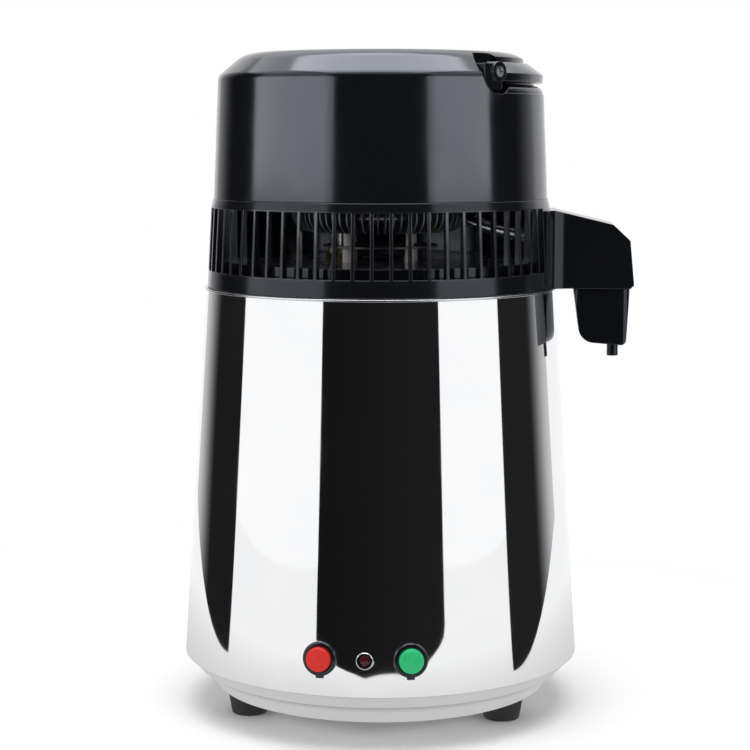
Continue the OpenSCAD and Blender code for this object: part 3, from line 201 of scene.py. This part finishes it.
# Bright zinc plate on small steel pieces: a cool grey with a faint warm bloom
def zincPlate():
    setup = {"tones": ("#c2c6ca", "#cdcabf"), "rough": (0.2, 0.38), "bloom": 5, "grain": 0.6, "depth": 0.006}
    material, tree, skin, place = startMaterial("zincPlatedSteel", Metallic=1)
    bloom = addNode(tree, "TexNoise", {"Vector": place, "Scale": per(setup["bloom"]), "Detail": 4})
    grain = addNode(tree, "TexNoise", {"Vector": place, "Scale": per(setup["grain"]), "Detail": 2})
    wear(tree, skin, bloom.outputs["Fac"], grain.outputs["Fac"], setup)
    return material


# Heater sheath of nickel alloy: dull, brown-grey from heat
def heatedMetal():
    setup = {"tones": ("#6d6560", "#8f8a80"), "rough": (0.38, 0.55), "stain": 22, "scale": 0.8, "depth": 0.03}
    material, tree, skin, place = startMaterial("heatTintedNickelAlloy", Metallic=1)
    stain = addNode(tree, "TexNoise", {"Vector": place, "Scale": per(setup["stain"]), "Detail": 5})
    scale = addNode(tree, "TexNoise", {"Vector": place, "Scale": per(setup["scale"]), "Detail": 3})
    wear(tree, skin, stain.outputs["Fac"], scale.outputs["Fac"], setup)
    return material


# Steatite ceramic: chalky, cream, finely pitted
def steatite():
    setup = {"tones": ("#d6cfbf", "#e2dccf"), "rough": (0.55, 0.75), "cloud": 6, "pit": 0.7, "depth": 0.03}
    material, tree, skin, place = startMaterial("steatiteCeramic", IOR=1.55)
    cloud = addNode(tree, "TexNoise", {"Vector": place, "Scale": per(setup["cloud"]), "Detail": 5})
    pit = addNode(tree, "TexVoronoi", {"Vector": place, "Scale": per(setup["pit"])})
    wear(tree, skin, cloud.outputs["Fac"], pit.outputs["Distance"], setup)
    return material


# Gloss ABS from a polished mould: blue-black, a trace of orange peel, handling smears, softly eased edges
def glossAbs():
    setup = {
        "tones": ("#0c0d10", "#111216"),
        "rough": (0.1, 0.17),
        "sheen": "#e4eaf9",
        "smear": 35,
        "peel": 1.6,
        "depth": 0.0012,
        "easing": 0.8,
    }
    material, tree, skin, place = startMaterial("glossBlackAbs", IOR=1.58)
    skin.inputs["Specular Tint"].default_value = linear(setup["sheen"])
    smear = addNode(tree, "TexNoise", {"Vector": place, "Scale": per(setup["smear"]), "Detail": 6,
                                       "Distortion": 0.6})
    peel = addNode(tree, "TexNoise", {"Vector": place, "Scale": per(setup["peel"]), "Detail": 1})
    relief = wear(tree, skin, smear.outputs["Fac"], peel.outputs["Fac"], setup)
    eased = addNode(tree, "Bevel", {"Radius": setup["easing"] * mm}, samples=8)
    tree.links.new(eased.outputs["Normal"], relief.inputs["Normal"])
    return material


# Spark-textured phenolic: black, even, dull
def mattPhenolic():
    setup = {"tones": ("#1a1817", "#242120"), "rough": (0.36, 0.5), "cloud": 9, "spark": 0.45, "depth": 0.02}
    material, tree, skin, place = startMaterial("mattBlackPhenolic", IOR=1.6)
    cloud = addNode(tree, "TexNoise", {"Vector": place, "Scale": per(setup["cloud"]), "Detail": 4})
    spark = addNode(tree, "TexVoronoi", {"Vector": place, "Scale": per(setup["spark"])})
    wear(tree, skin, cloud.outputs["Fac"], spark.outputs["Distance"], setup)
    return material


# Moulded rubber: soft black with a dusty bloom
def footRubber():
    setup = {"tones": ("#161616", "#222120"), "rough": (0.6, 0.78), "bloom": 8, "grain": 0.5, "depth": 0.05}
    material, tree, skin, place = startMaterial("mouldedBlackRubber", IOR=1.52)
    bloom = addNode(tree, "TexNoise", {"Vector": place, "Scale": per(setup["bloom"]), "Detail": 6})
    grain = addNode(tree, "TexNoise", {"Vector": place, "Scale": per(setup["grain"]), "Detail": 3})
    wear(tree, skin, bloom.outputs["Fac"], grain.outputs["Fac"], setup)
    return material


# Dyed ABS of a push-button: even colour right through, satin from its fine mould texture
def dyedAbs(name, tones):
    setup = {"tones": tones, "rough": (0.3, 0.4), "cloud": 4, "grain": 0.4, "depth": 0.012}
    material, tree, skin, place = startMaterial(name, IOR=1.53)
    skin.inputs["Specular IOR Level"].default_value = 0.2
    cloud = addNode(tree, "TexNoise", {"Vector": place, "Scale": per(setup["cloud"]), "Detail": 3})
    grain = addNode(tree, "TexNoise", {"Vector": place, "Scale": per(setup["grain"]), "Detail": 2})
    wear(tree, skin, cloud.outputs["Fac"], grain.outputs["Fac"], setup)
    return material


# Decorative chrome on brass: a clean mirror
def chromePlate():
    setup = {"tones": ("#c4c6c9", "#d2d3d5"), "rough": (0.03, 0.08), "haze": 3, "wave": 1.5, "depth": 0.002}
    material, tree, skin, place = startMaterial("polishedChromePlate", Metallic=1)
    haze = addNode(tree, "TexNoise", {"Vector": place, "Scale": per(setup["haze"]), "Detail": 3})
    wave = addNode(tree, "TexNoise", {"Vector": place, "Scale": per(setup["wave"]), "Detail": 1})
    wear(tree, skin, haze.outputs["Fac"], wave.outputs["Fac"], setup)
    return material


# Ruby acrylic of an unlit lamp: deep red, glassy, faintly faceted inside
def rubyAcrylic():
    setup = {"tones": ("#2a0a0c", "#6a1a1e"), "rough": (0.06, 0.12), "facet": 1.6, "wave": 1.2, "depth": 0.01}
    material, tree, skin, place = startMaterial("rubyRedAcrylic", IOR=1.49)
    skin.inputs["Transmission Weight"].default_value = 0.25
    facet = addNode(tree, "TexVoronoi", {"Vector": place, "Scale": per(setup["facet"])})
    wave = addNode(tree, "TexNoise", {"Vector": place, "Scale": per(setup["wave"]), "Detail": 1})
    wear(tree, skin, facet.outputs["Distance"], wave.outputs["Fac"], setup)
    return material


# Platinum-cured silicone: milky and soft
def milkySilicone():
    setup = {"tones": ("#d6d6d1", "#e3e2dd"), "rough": (0.42, 0.55), "cloud": 10, "grain": 0.8, "depth": 0.02}
    material, tree, skin, place = startMaterial("milkySilicone", IOR=1.41)
    skin.inputs["Subsurface Weight"].default_value = 0.2
    skin.inputs["Subsurface Radius"].default_value = (2 * mm, 2 * mm, 2 * mm)
    cloud = addNode(tree, "TexNoise", {"Vector": place, "Scale": per(setup["cloud"]), "Detail": 3})
    grain = addNode(tree, "TexNoise", {"Vector": place, "Scale": per(setup["grain"]), "Detail": 2})
    wear(tree, skin, cloud.outputs["Fac"], grain.outputs["Fac"], setup)
    return material


# Turned brass, browned by steam, with tool marks round it
def turnedBrass():
    setup = {"tones": ("#5e5136", "#77684a"), "rough": (0.34, 0.5), "stain": 3, "mark": 0.4, "depth": 0.01}
    material, tree, skin, place = startMaterial("brownedBrass", (0.2, 0.2, 1), Metallic=1)
    stain = addNode(tree, "TexNoise", {"Vector": place, "Scale": per(setup["stain"]), "Detail": 4})
    mark = addNode(tree, "TexNoise", {"Vector": place, "Scale": per(setup["mark"]), "Detail": 2})
    wear(tree, skin, stain.outputs["Fac"], mark.outputs["Fac"], setup)
    return material


# Rolled aluminium of the fins: dull grey, with mill lines
def rolledAluminium():
    setup = {"tones": ("#888b8f", "#9a9da0"), "rough": (0.5, 0.65), "cloud": 12, "line": 0.6, "depth": 0.01}
    material, tree, skin, place = startMaterial("rolledFinAluminium", (1, 1, 0.1), Metallic=1)
    cloud = addNode(tree, "TexNoise", {"Vector": place, "Scale": per(setup["cloud"]), "Detail": 4})
    line = addNode(tree, "TexNoise", {"Vector": place, "Scale": per(setup["line"]), "Detail": 2})
    wear(tree, skin, cloud.outputs["Fac"], line.outputs["Fac"], setup)
    return material


# Unfilled nylon of the fan posts: greyed white, slightly waxy
def paleNylon():
    setup = {"tones": ("#a3a39e", "#b1b0ab"), "rough": (0.36, 0.5), "cloud": 7, "grain": 0.6, "depth": 0.015}
    material, tree, skin, place = startMaterial("paleNylon", IOR=1.53)
    cloud = addNode(tree, "TexNoise", {"Vector": place, "Scale": per(setup["cloud"]), "Detail": 4})
    grain = addNode(tree, "TexNoise", {"Vector": place, "Scale": per(setup["grain"]), "Detail": 2})
    wear(tree, skin, cloud.outputs["Fac"], grain.outputs["Fac"], setup)
    return material


# Stoved grey paint on the motor: dull and fine-grained
def greyCoat():
    setup = {"tones": ("#35373b", "#44474b"), "rough": (0.4, 0.55), "cloud": 11, "grain": 0.5, "depth": 0.02}
    material, tree, skin, place = startMaterial("stovedGreyPaint", IOR=1.5)
    cloud = addNode(tree, "TexNoise", {"Vector": place, "Scale": per(setup["cloud"]), "Detail": 5})
    grain = addNode(tree, "TexNoise", {"Vector": place, "Scale": per(setup["grain"]), "Detail": 3})
    wear(tree, skin, cloud.outputs["Fac"], grain.outputs["Fac"], setup)
    return material


# Pressed filter felt round the carbon: off-white fibres
def filterFelt():
    setup = {"tones": ("#c9c5bb", "#dcd9d1"), "rough": (0.8, 0.95), "clump": 3, "fibre": 0.35, "depth": 0.12}
    material, tree, skin, place = startMaterial("pressedFilterFelt", (1, 1, 3), IOR=1.45)
    clump = addNode(tree, "TexNoise", {"Vector": place, "Scale": per(setup["clump"]), "Detail": 6})
    fibre = addNode(tree, "TexNoise", {"Vector": place, "Scale": per(setup["fibre"]), "Detail": 4,
                                       "Distortion": 2})
    wear(tree, skin, clump.outputs["Fac"], fibre.outputs["Fac"], setup)
    return material


finishes = {
    "polished_steel": polishedSteel(),
    "tank_steel": drawnSteel(),
    "satin_metal": blastedAluminium(),
    "zinc_steel": zincPlate(),
    "heater_metal": heatedMetal(),
    "ceramic": steatite(),
    "black_gloss": glossAbs(),
    "black_matte": mattPhenolic(),
    "foot_rubber": footRubber(),
    "red_cap": dyedAbs("dyedRedAbs", ("#bf201c", "#cc3128")),
    "green_cap": dyedAbs("dyedGreenAbs", ("#1fa463", "#30b876")),
    "chrome_trim": chromePlate(),
    "red_lens": rubyAcrylic(),
    "silicone": milkySilicone(),
    "brass_fitting": turnedBrass(),
    "fin_aluminium": rolledAluminium(),
    "pale_plastic": paleNylon(),
    "motor_paint": greyCoat(),
}
felt = filterFelt()

# Which nodes have which finish
finishNodes = {
    "polished_steel": ["outer_shell"],
    "tank_steel": ["boiling_tank", "tank_floor", "steam_lid", "condenser_tube"],
    "satin_metal": ["base_ring", "heater_plate"],
    "zinc_steel": ["base_plate", "base_screws", "tie_stud", "tie_nut", "foot_screws", "inlet_pins",
                   "stop_nut", "stop_spring", "start_nut", "start_spring", "lamp_nut", "lid_screws",
                   "dome_screws", "fan_inlet_pins", "handle_screws", "spout_screws", "motor_plate",
                   "motor_shaft", "fan_nut"],
    "heater_metal": ["heater_ring"],
    "ceramic": ["thermostat", "lamp_body"],
    "black_gloss": ["vent_ring", "dome_cover", "carry_handle", "spout_arm", "filter_cup", "stop_bezel",
                    "start_bezel"],
    "black_matte": ["thermal_cutout", "heat_shield", "power_inlet", "stop_switch", "start_switch",
                    "fan_inlet", "fan_blades"],
    "foot_rubber": ["foot_front_left", "foot_front_right", "foot_rear"],
    "red_cap": ["stop_cap"],
    "green_cap": ["start_cap"],
    "chrome_trim": ["lamp_bezel"],
    "red_lens": ["lamp_lens"],
    "silicone": ["lid_seal"],
    "brass_fitting": ["steam_fitting", "motor_bush"],
    "fin_aluminium": ["condenser_fins"],
    "pale_plastic": ["fan_posts", "carbon_cartridge"],
    "motor_paint": ["motor_can"],
}
for slot, nodes in finishNodes.items():
    for node in nodes:
        frame["nodes"][node].data.materials.clear()
        frame["nodes"][node].data.materials.append(finishes[slot])
frame["nodes"]["carbon_cartridge"].data.materials[0] = felt  # its slot stays pale_plastic
slotOf = {node: slot for slot, nodes in finishNodes.items() for node in nodes}
print("materials made:", len(bpy.data.materials))

# How pieces are worked: millimetres and degrees
bench = {
    "merge": 0.002,
    "flat": 0.3,  # faces that turn less are one flat face
    "sharp": 32,  # edges that turn more are rounded
    "segments": 3,
    "crease": 40,  # for tube and wire ends
}


# A new piece joins the scene as the only one selected
def pick(piece):
    bpy.context.scene.collection.objects.link(piece)
    bpy.ops.object.select_all(action="DESELECT")
    piece.select_set(True)
    bpy.context.view_layer.objects.active = piece


# A piece stands for a node, on that node's body, and the node is hidden
def standFor(piece, node):
    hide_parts(node)
    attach(piece, bodyOf[node])


# A copy of a node's shape, merged and with its flat faces whole, ready to be worked on
def copyNode(node):
    piece = bpy.data.objects.new(node + "Rounded", frame["nodes"][node].data.copy())
    pick(piece)
    bpy.ops.mesh.customdata_custom_splitnormals_clear()
    bpy.ops.object.mode_set(mode="EDIT")
    bpy.ops.mesh.select_all(action="SELECT")
    bpy.ops.mesh.remove_doubles(threshold=bench["merge"] * mm)
    bpy.ops.mesh.dissolve_limited(angle_limit=math.radians(bench["flat"]))
    bpy.ops.mesh.select_all(action="DESELECT")
    bpy.ops.object.mode_set(mode="OBJECT")
    return piece


# Rounds a piece's sharp edges, as a mould or a press leaves them
def soften(piece, edge):
    sharp = math.radians(bench["sharp"])
    bpy.ops.object.shade_smooth_by_angle(angle=sharp)
    rounding = piece.modifiers.new("rounding", "BEVEL")
    rounding.width = edge * mm
    rounding.segments = bench["segments"]
    rounding.limit_method = "ANGLE"
    rounding.angle_limit = sharp
    rounding.use_clamp_overlap = True
    rounding.harden_normals = True  # flat faces stay flat to the light
    bpy.ops.object.modifier_apply(modifier="rounding")


# The rolled wall bends evenly: its mirror follows the cone, and not the flats of a mesh
def trueWall(node):
    rimBand = 0.1 * mm
    alike = 0.98  # how nearly a face of the wall points the cone's way
    piece = copyNode(node)
    low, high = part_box(node)
    rims = [max(point.co.xy.length for point in piece.data.vertices if abs(point.co.z - level) < rimBand)
            for level in (low.z, high.z)]
    lean = (rims[0] - rims[1]) / (high.z - low.z)
    facing = []
    for face in piece.data.polygons:
        for corner in face.vertices:
            place = piece.data.vertices[corner].co
            outward = Vector((*place.xy.normalized(), lean)).normalized()
            facing.append(outward if outward.dot(face.normal) > alike else face.normal)
    bpy.ops.object.shade_smooth()
    piece.data.normals_split_custom_set(facing)
    standFor(piece, node)


trueWall("outer_shell")

roundedEdges = {
    "spout_arm": 0.9,
    "filter_cup": 0.6,
    "carry_handle": 0.8,
    "base_ring": 0.5,
    "stop_bezel": 0.3,
    "start_bezel": 0.3,
    "power_inlet": 0.5,
    "fan_inlet": 0.4,
}
for node, edge in roundedEdges.items():
    piece = copyNode(node)
    soften(piece, edge)
    standFor(piece, node)
print("edges rounded on", len(roundedEdges), "pieces")


# Round tube or wire along a route, as bent by hand on a former
def bentTube(name, route, radius, roundness, node):
    line = bpy.data.curves.new(name, "CURVE")
    line.dimensions = "3D"
    line.bevel_depth = radius
    line.bevel_resolution = roundness
    line.use_fill_caps = True
    run = line.splines.new("POLY")
    run.points.add(len(route) - 1)
    for point, place in zip(run.points, route):
        point.co = (*place, 1)
    pick(bpy.data.objects.new(name, line))
    bpy.ops.object.convert(target="MESH")
    piece = bpy.context.object
    bpy.ops.object.mode_set(mode="EDIT")
    bpy.ops.mesh.select_all(action="SELECT")
    bpy.ops.mesh.remove_doubles(threshold=bench["merge"] * mm)
    bpy.ops.mesh.normals_make_consistent(inside=False)
    bpy.ops.object.mode_set(mode="OBJECT")
    bpy.ops.object.shade_smooth_by_angle(angle=math.radians(bench["crease"]))
    piece.data.materials.clear()
    piece.data.materials.append(finishes[slotOf[node]])
    standFor(piece, node)
    return piece


# Four-point curve, from just after the first point to the last
def arc(a, b, c, d, steps):
    points = []
    for i in range(1, steps + 1):
        t = i / steps
        points.append(a * (1 - t) ** 3 + b * 3 * t * (1 - t) ** 2 + c * 3 * t * t * (1 - t) + d * t ** 3)
    return points


# Condenser: up from the lid, three level turns joined by short drops, then out along the spout
condenser = {
    "tube": 8,
    "roundness": 6,
    "coilRadius": 41,
    "turns": 3,
    "pitch": 21.2,  # from one turn down to the next
    "start": 210,  # degrees round the coil
    "dropStart": 30,
    "dropSpan": 60,
    "lift": 27,  # lowest turn above the lid
    "riser": 25,  # riser from the axis
    "riserFoot": 1,  # riser into the lid
    "riserBend": 12,
    "outletDrop": 13,
    "outletSwing": 26,
    "outletRun": 33,
    "outletMouth": 4.8,  # inside the ring's face
    "outletBend": 9,
    "stepsPerTurn": 72,
    "riserSteps": 16,
    "outletSteps": 24,
    "bendSteps": 8,
}


def condenserRoute(setup):
    size = {name: value * mm for name, value in setup.items()}  # degrees and counts are read from setup
    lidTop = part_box("steam_lid")[1].z
    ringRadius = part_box("vent_ring")[1].y
    cupMiddle = (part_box("filter_cup")[0].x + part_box("filter_cup")[1].x) / 2
    low = lidTop + size["lift"]
    end = 360 * setup["turns"]

    def drop(angle):
        turn = (angle - setup["dropStart"]) / 360
        share = min(1, (turn - math.floor(turn)) * 360 / setup["dropSpan"])
        return math.floor(turn) + share * share * (3 - 2 * share)

    def coilPoint(angle):
        radius = size["coilRadius"]
        turn = math.radians(angle)
        height = low + size["pitch"] * (drop(end) - drop(angle))
        return Vector((radius * math.cos(turn), radius * math.sin(turn), height))

    steps = round(setup["stepsPerTurn"] * (end - setup["start"]) / 360)
    coil = [coilPoint(setup["start"] + i * (end - setup["start"]) / steps) for i in range(steps + 1)]
    start = math.radians(setup["start"])
    heading = Vector((-math.sin(start), math.cos(start), 0))
    riserTop = Vector((-size["riser"], 0, coil[0].z - size["riserBend"]))
    bend = Vector((0, 0, size["riserBend"]))
    riser = [Vector((-size["riser"], 0, lidTop - size["riserFoot"])), riserTop]
    riser += arc(riserTop, riserTop + bend, coil[0] - heading * size["riserBend"], coil[0],
                 setup["riserSteps"])[:-1]
    level = low - size["outletDrop"]
    mouth = Vector((ringRadius - size["outletMouth"], 0, level))
    out = arc(coil[-1], coil[-1] + Vector((0, size["outletSwing"], 0)),
              Vector((ringRadius - size["outletRun"], 0, level)), mouth, setup["outletSteps"])
    corner = size["outletBend"]
    for i in range(setup["bendSteps"] + 1):
        turn = math.radians(90 * i / setup["bendSteps"])
        height = level - corner + corner * math.cos(turn)
        out.append(Vector((cupMiddle - corner + corner * math.sin(turn), 0, height)))
    out.append(Vector((cupMiddle, 0, level - corner - size["tube"])))
    return riser + coil + out


bentTube("condenserCoil", condenserRoute(condenser), condenser["tube"] / 2 * mm, condenser["roundness"],
         "condenser_tube")

# Return springs, each along the wall's normal behind its button
buttonSpring = {
    "angle": 12.4,  # degrees to each side of the front
    "level": 50.5,
    "wallRadius": 112.7,
    "wire": 1.0,
    "roundness": 2,
    "radius": 4.7,
    "curls": 3,
    "seat": 15.0,  # below the wall's face
    "cap": 6.8,
    "travel": 2.5,
    "stepsPerCurl": 40,
}
joints = {joint["name"]: joint for joint in frame["record"]["behaviour"]["joints"]}


# Directions here are degrees from the front towards the spout
def around(angle, distance, height):
    turn = math.radians(angle)
    return Vector((distance * math.sin(turn), -distance * math.cos(turn), height))


def springRoute(setup, face, inward):
    size = {name: value * mm for name, value in setup.items()}  # counts are read from setup
    side = Vector((0, 0, 1)).cross(inward).normalized()
    other = inward.cross(side)
    steps = setup["curls"] * setup["stepsPerCurl"]
    length = size["seat"] - size["cap"] - 2 * size["wire"]
    points = [face + inward * size["seat"] + side * size["radius"]]
    for i in range(steps + 1):
        turn = 2 * math.pi * setup["curls"] * i / steps
        back = size["seat"] - size["wire"] - length * i / steps
        outward = side * math.cos(turn) + other * math.sin(turn)
        points.append(face + inward * back + outward * size["radius"])
    points.append(face + inward * size["cap"] + side * size["radius"])
    return points


def windSpring(name, angle, setup):
    inward = Vector(joints[name + "_press"]["axis"])
    face = around(angle, setup["wallRadius"] * mm, setup["level"] * mm)
    route = springRoute(setup, face, inward)
    piece = bentTube(name + "SpringWire", route, setup["wire"] / 2 * mm, setup["roundness"], name + "_spring")
    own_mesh(piece)


windSpring("stop", -buttonSpring["angle"], buttonSpring)
windSpring("start", buttonSpring["angle"], buttonSpring)
print("tube and springs wound")


# Share of a ray that sees the plain white: 1 for the camera, a mirror and glass
def seenWhite(tree):
    rays = addNode(tree, "LightPath", {}).outputs
    seen = addNode(tree, "Math", {0: rays["Is Camera Ray"], 1: rays["Is Glossy Ray"]}, operation="MAXIMUM")
    seen = addNode(tree, "Math", {0: seen.outputs[0], 1: rays["Is Transmission Ray"]}, operation="MAXIMUM")
    return seen.outputs[0]


# Pale paper floor, in metres from the body's axis
floorSetup = {
    "radius": 3.0,
    "tones": ("#e6e6e6", "#eaeaea"),
    "rough": (0.85, 0.95),
    "grain": 2,  # millimetres, and so is the depth
    "depth": 0.02,
    "lit": 0.24,  # the camera sees light and shadow up to here
    "white": 0.50,  # and plain white from here on
    "dim": 0.13,  # the plain white is greyest up to here, where metal alone sees it: painted shade of the body on the floor
    "bright": 0.44,  # and full from here on
    "paintedShadeTone": 0.62,
}


def paperFloor(setup):
    bpy.ops.mesh.primitive_circle_add(vertices=128, radius=setup["radius"], fill_type="NGON")
    floor = bpy.context.object
    floor.name = "floor"
    material, tree, skin, place = startMaterial("studioPaper", Roughness=0.9)
    grain = addNode(tree, "TexNoise", {"Vector": place, "Scale": per(setup["grain"]), "Detail": 4})
    wear(tree, skin, grain.outputs["Fac"], grain.outputs["Fac"], setup)
    away = addNode(tree, "VectorMath", {0: place}, operation="LENGTH").outputs["Value"]
    far = addNode(tree, "MapRange", {"Value": away, "From Min": setup["lit"], "From Max": setup["white"]},
                  interpolation_type="SMOOTHSTEP").outputs["Result"]
    rays = addNode(tree, "LightPath", {}).outputs
    plain = addNode(tree, "Math", {0: far, 1: rays["Is Glossy Ray"]}, operation="MAXIMUM")
    share = addNode(tree, "Math", {0: plain.outputs[0], 1: seenWhite(tree)}, operation="MULTIPLY")
    # Painted shade: the floor that the metal mirrors is greyer near the body, where its shadow falls
    tone = addNode(tree, "MapRange", {"Value": away, "From Min": setup["dim"], "From Max": setup["bright"],
                                      "To Min": setup["paintedShadeTone"]})
    white = addNode(tree, "Emission", {"Strength": tone.outputs["Result"]})
    both = addNode(tree, "MixShader", {0: share.outputs[0], 1: skin.outputs[0], 2: white.outputs[0]})
    tree.links.new(both.outputs[0], tree.nodes["Material Output"].inputs["Surface"])
    floor.data.materials.append(material)


# White all round
surround = {
    "seen": 1.0,  # what the camera and the metal see
    "fill": 0.66,  # what it sheds on dull surfaces
}


def whiteSurround(setup):
    world = bpy.data.worlds.new("surround")
    world.use_nodes = True
    bpy.context.scene.world = world
    tree = world.node_tree
    strength = addNode(tree, "MapRange", {"Value": seenWhite(tree), "To Min": setup["fill"],
                                          "To Max": setup["seen"]})
    tree.links.new(strength.outputs["Result"], tree.nodes["Background"].inputs["Strength"])
    tree.nodes["Background"].inputs["Color"].default_value = (1, 1, 1, 1)


paperFloor(floorSetup)
whiteSurround(surround)

# Where lines of sight off the polished wall start, and the directions in which its dark bands begin and end
sight = {
    "front": Vector((0.005, -0.0555, 0)),
    "left": Vector((-0.084, -0.073, 0)),
    "right": Vector((0.042, -0.071, 0)),
    "leftEdge": -92.9,
    "frontStart": -32.45,
    "frontEnd": 40.85,
    "rightEdge": 84.8,
}

# Soft boxes left and right of the camera, in two tiers, and two panels overhead
boxReach = 1.1
boxTiers = {
    "Low": {"low": 0.0, "high": 0.33, "radiance": 0.08, "widen": 0},
    "High": {"low": 0.33, "high": 0.56, "radiance": 2.4, "widen": 4.2},  # degrees, out past the low tier
}
topPanel = {"place": (0, -0.1, 1.7), "width": 1.5, "height": 1.5, "radiance": 3.6}
skyPanel = {"place": (0, 0.75, 1.72), "width": 3.0, "height": 2.1, "radiance": 0.8}
skyTone = "#dfe6f2"


def panel(name, place, width, height, radiance):
    bpy.ops.object.light_add(type="AREA", location=place)
    lamp = bpy.context.object
    lamp.name = name
    lamp.data.shape = "RECTANGLE"
    lamp.data.size = width
    lamp.data.size_y = height
    lamp.data.energy = radiance * math.pi * width * height
    lamp.visible_camera = False
    return lamp


# A soft box that stands between two uprights
def softBox(name, left, right, tier):
    low, high = tier["low"], tier["high"]
    place = (left + right) / 2 + Vector((0, 0, (low + high) / 2))
    lamp = panel(name, place, (right - left).length, high - low, tier["radiance"])
    along = (right - left).normalized()
    lamp.rotation_euler = along.cross(Vector((0, 0, 1))).to_track_quat("Z", "Y").to_euler()


for level, tier in boxTiers.items():
    softBox("softBoxLeft" + level, sight["left"] + around(sight["leftEdge"], boxReach, 0),
            sight["front"] + around(sight["frontStart"] + tier["widen"], boxReach, 0), tier)
    softBox("softBoxRight" + level, sight["front"] + around(sight["frontEnd"] - tier["widen"], boxReach, 0),
            sight["right"] + around(sight["rightEdge"], boxReach, 0), tier)
panel("softBoxTop", **topPanel)
sky = panel("skyPanel", **skyPanel)
sky.data.color = linear(skyTone)[:3]
sky.visible_diffuse = False  # for the gloss of the head alone

# Dark cloths for the metal to mirror: each lies on the floor in metres from its line of sight, then hangs
clothSteps = 24
clothLift = 0.4 * mm  # above the floor
clothOver = 0.3  # degrees past the edge of a soft box
coveFront = {
    "start": sight["frontStart"] - clothOver,
    "end": sight["frontEnd"] + clothOver,
    "near": 0.337,
    "nearest": 0.5,  # share of the cloth's width where it comes closest
    "draw": 3.6,  # how far the rest of its edge draws back
    "power": 4,
    "far": 1.9,
    "top": 1.7,
}
coveLeft = {
    "start": -150,
    "end": sight["leftEdge"] + clothOver,
    "near": 0.24,
    "nearest": 1,
    "draw": 0.6,
    "power": 2,
    "far": 1.4,
    "top": 1.3,
}
coveRight = {
    "start": sight["rightEdge"] - clothOver,
    "end": 135,
    "near": 0.25,
    "nearest": 0,
    "draw": 0.6,
    "power": 2,
    "far": 1.4,
    "top": 1.3,
}


# Cloth that turns from one tone to another between two shares of its width
def flagCloth(name, tones, fade):
    material, tree, skin = startMaterial(name, Roughness=1)[:3]
    skin.inputs["Specular IOR Level"].default_value = 0
    skin.inputs["Base Color"].default_value = (0, 0, 0, 1)
    skin.inputs["Emission Color"].default_value = (1, 1, 1, 1)
    edge = addNode(tree, "SeparateXYZ", {"Vector": addNode(tree, "TexCoord", {}).outputs["UV"]})
    tone = addNode(tree, "MapRange", {"Value": edge.outputs["X"], "From Min": fade[0], "From Max": fade[1],
                                      "To Min": tones[0], "To Max": tones[1]},
                   interpolation_type="SMOOTHSTEP")
    tree.links.new(tone.outputs["Result"], skin.inputs["Emission Strength"])
    return material


# Only reflections show the cloth
def cove(name, centre, setup, cloth):
    bpy.ops.mesh.primitive_grid_add(x_subdivisions=clothSteps, y_subdivisions=2, size=1)
    card = bpy.context.object
    card.name = name
    for corner in card.data.vertices:
        share = corner.co.x + 0.5
        angle = setup["start"] + (setup["end"] - setup["start"]) * share
        near = setup["near"] + setup["draw"] * abs(share - setup["nearest"]) ** setup["power"]
        row = round(2 * corner.co.y)  # -1 nearest, 0 where the cloth begins to hang, 1 at its top
        corner.co = centre + around(angle, near if row < 0 else setup["far"],
                                    setup["top"] if row > 0 else clothLift)
    card.data.materials.append(cloth)
    card.visible_camera = False
    card.visible_shadow = False
    card.visible_diffuse = False


dark = flagCloth("blackFlagCloth", (0.008, 0.012), (0, 1))
fading = flagCloth("fadedFlagCloth", (0.6, 0.012), (0, 0.52))
paling = flagCloth("palingFlagCloth", (0.015, 0.6), (0.52, 1))
cove("coveFront", sight["front"], coveFront, dark)
cove("coveLeft", sight["left"], coveLeft, fading)
cove("coveRight", sight["right"], coveRight, paling)
print("stage lit")
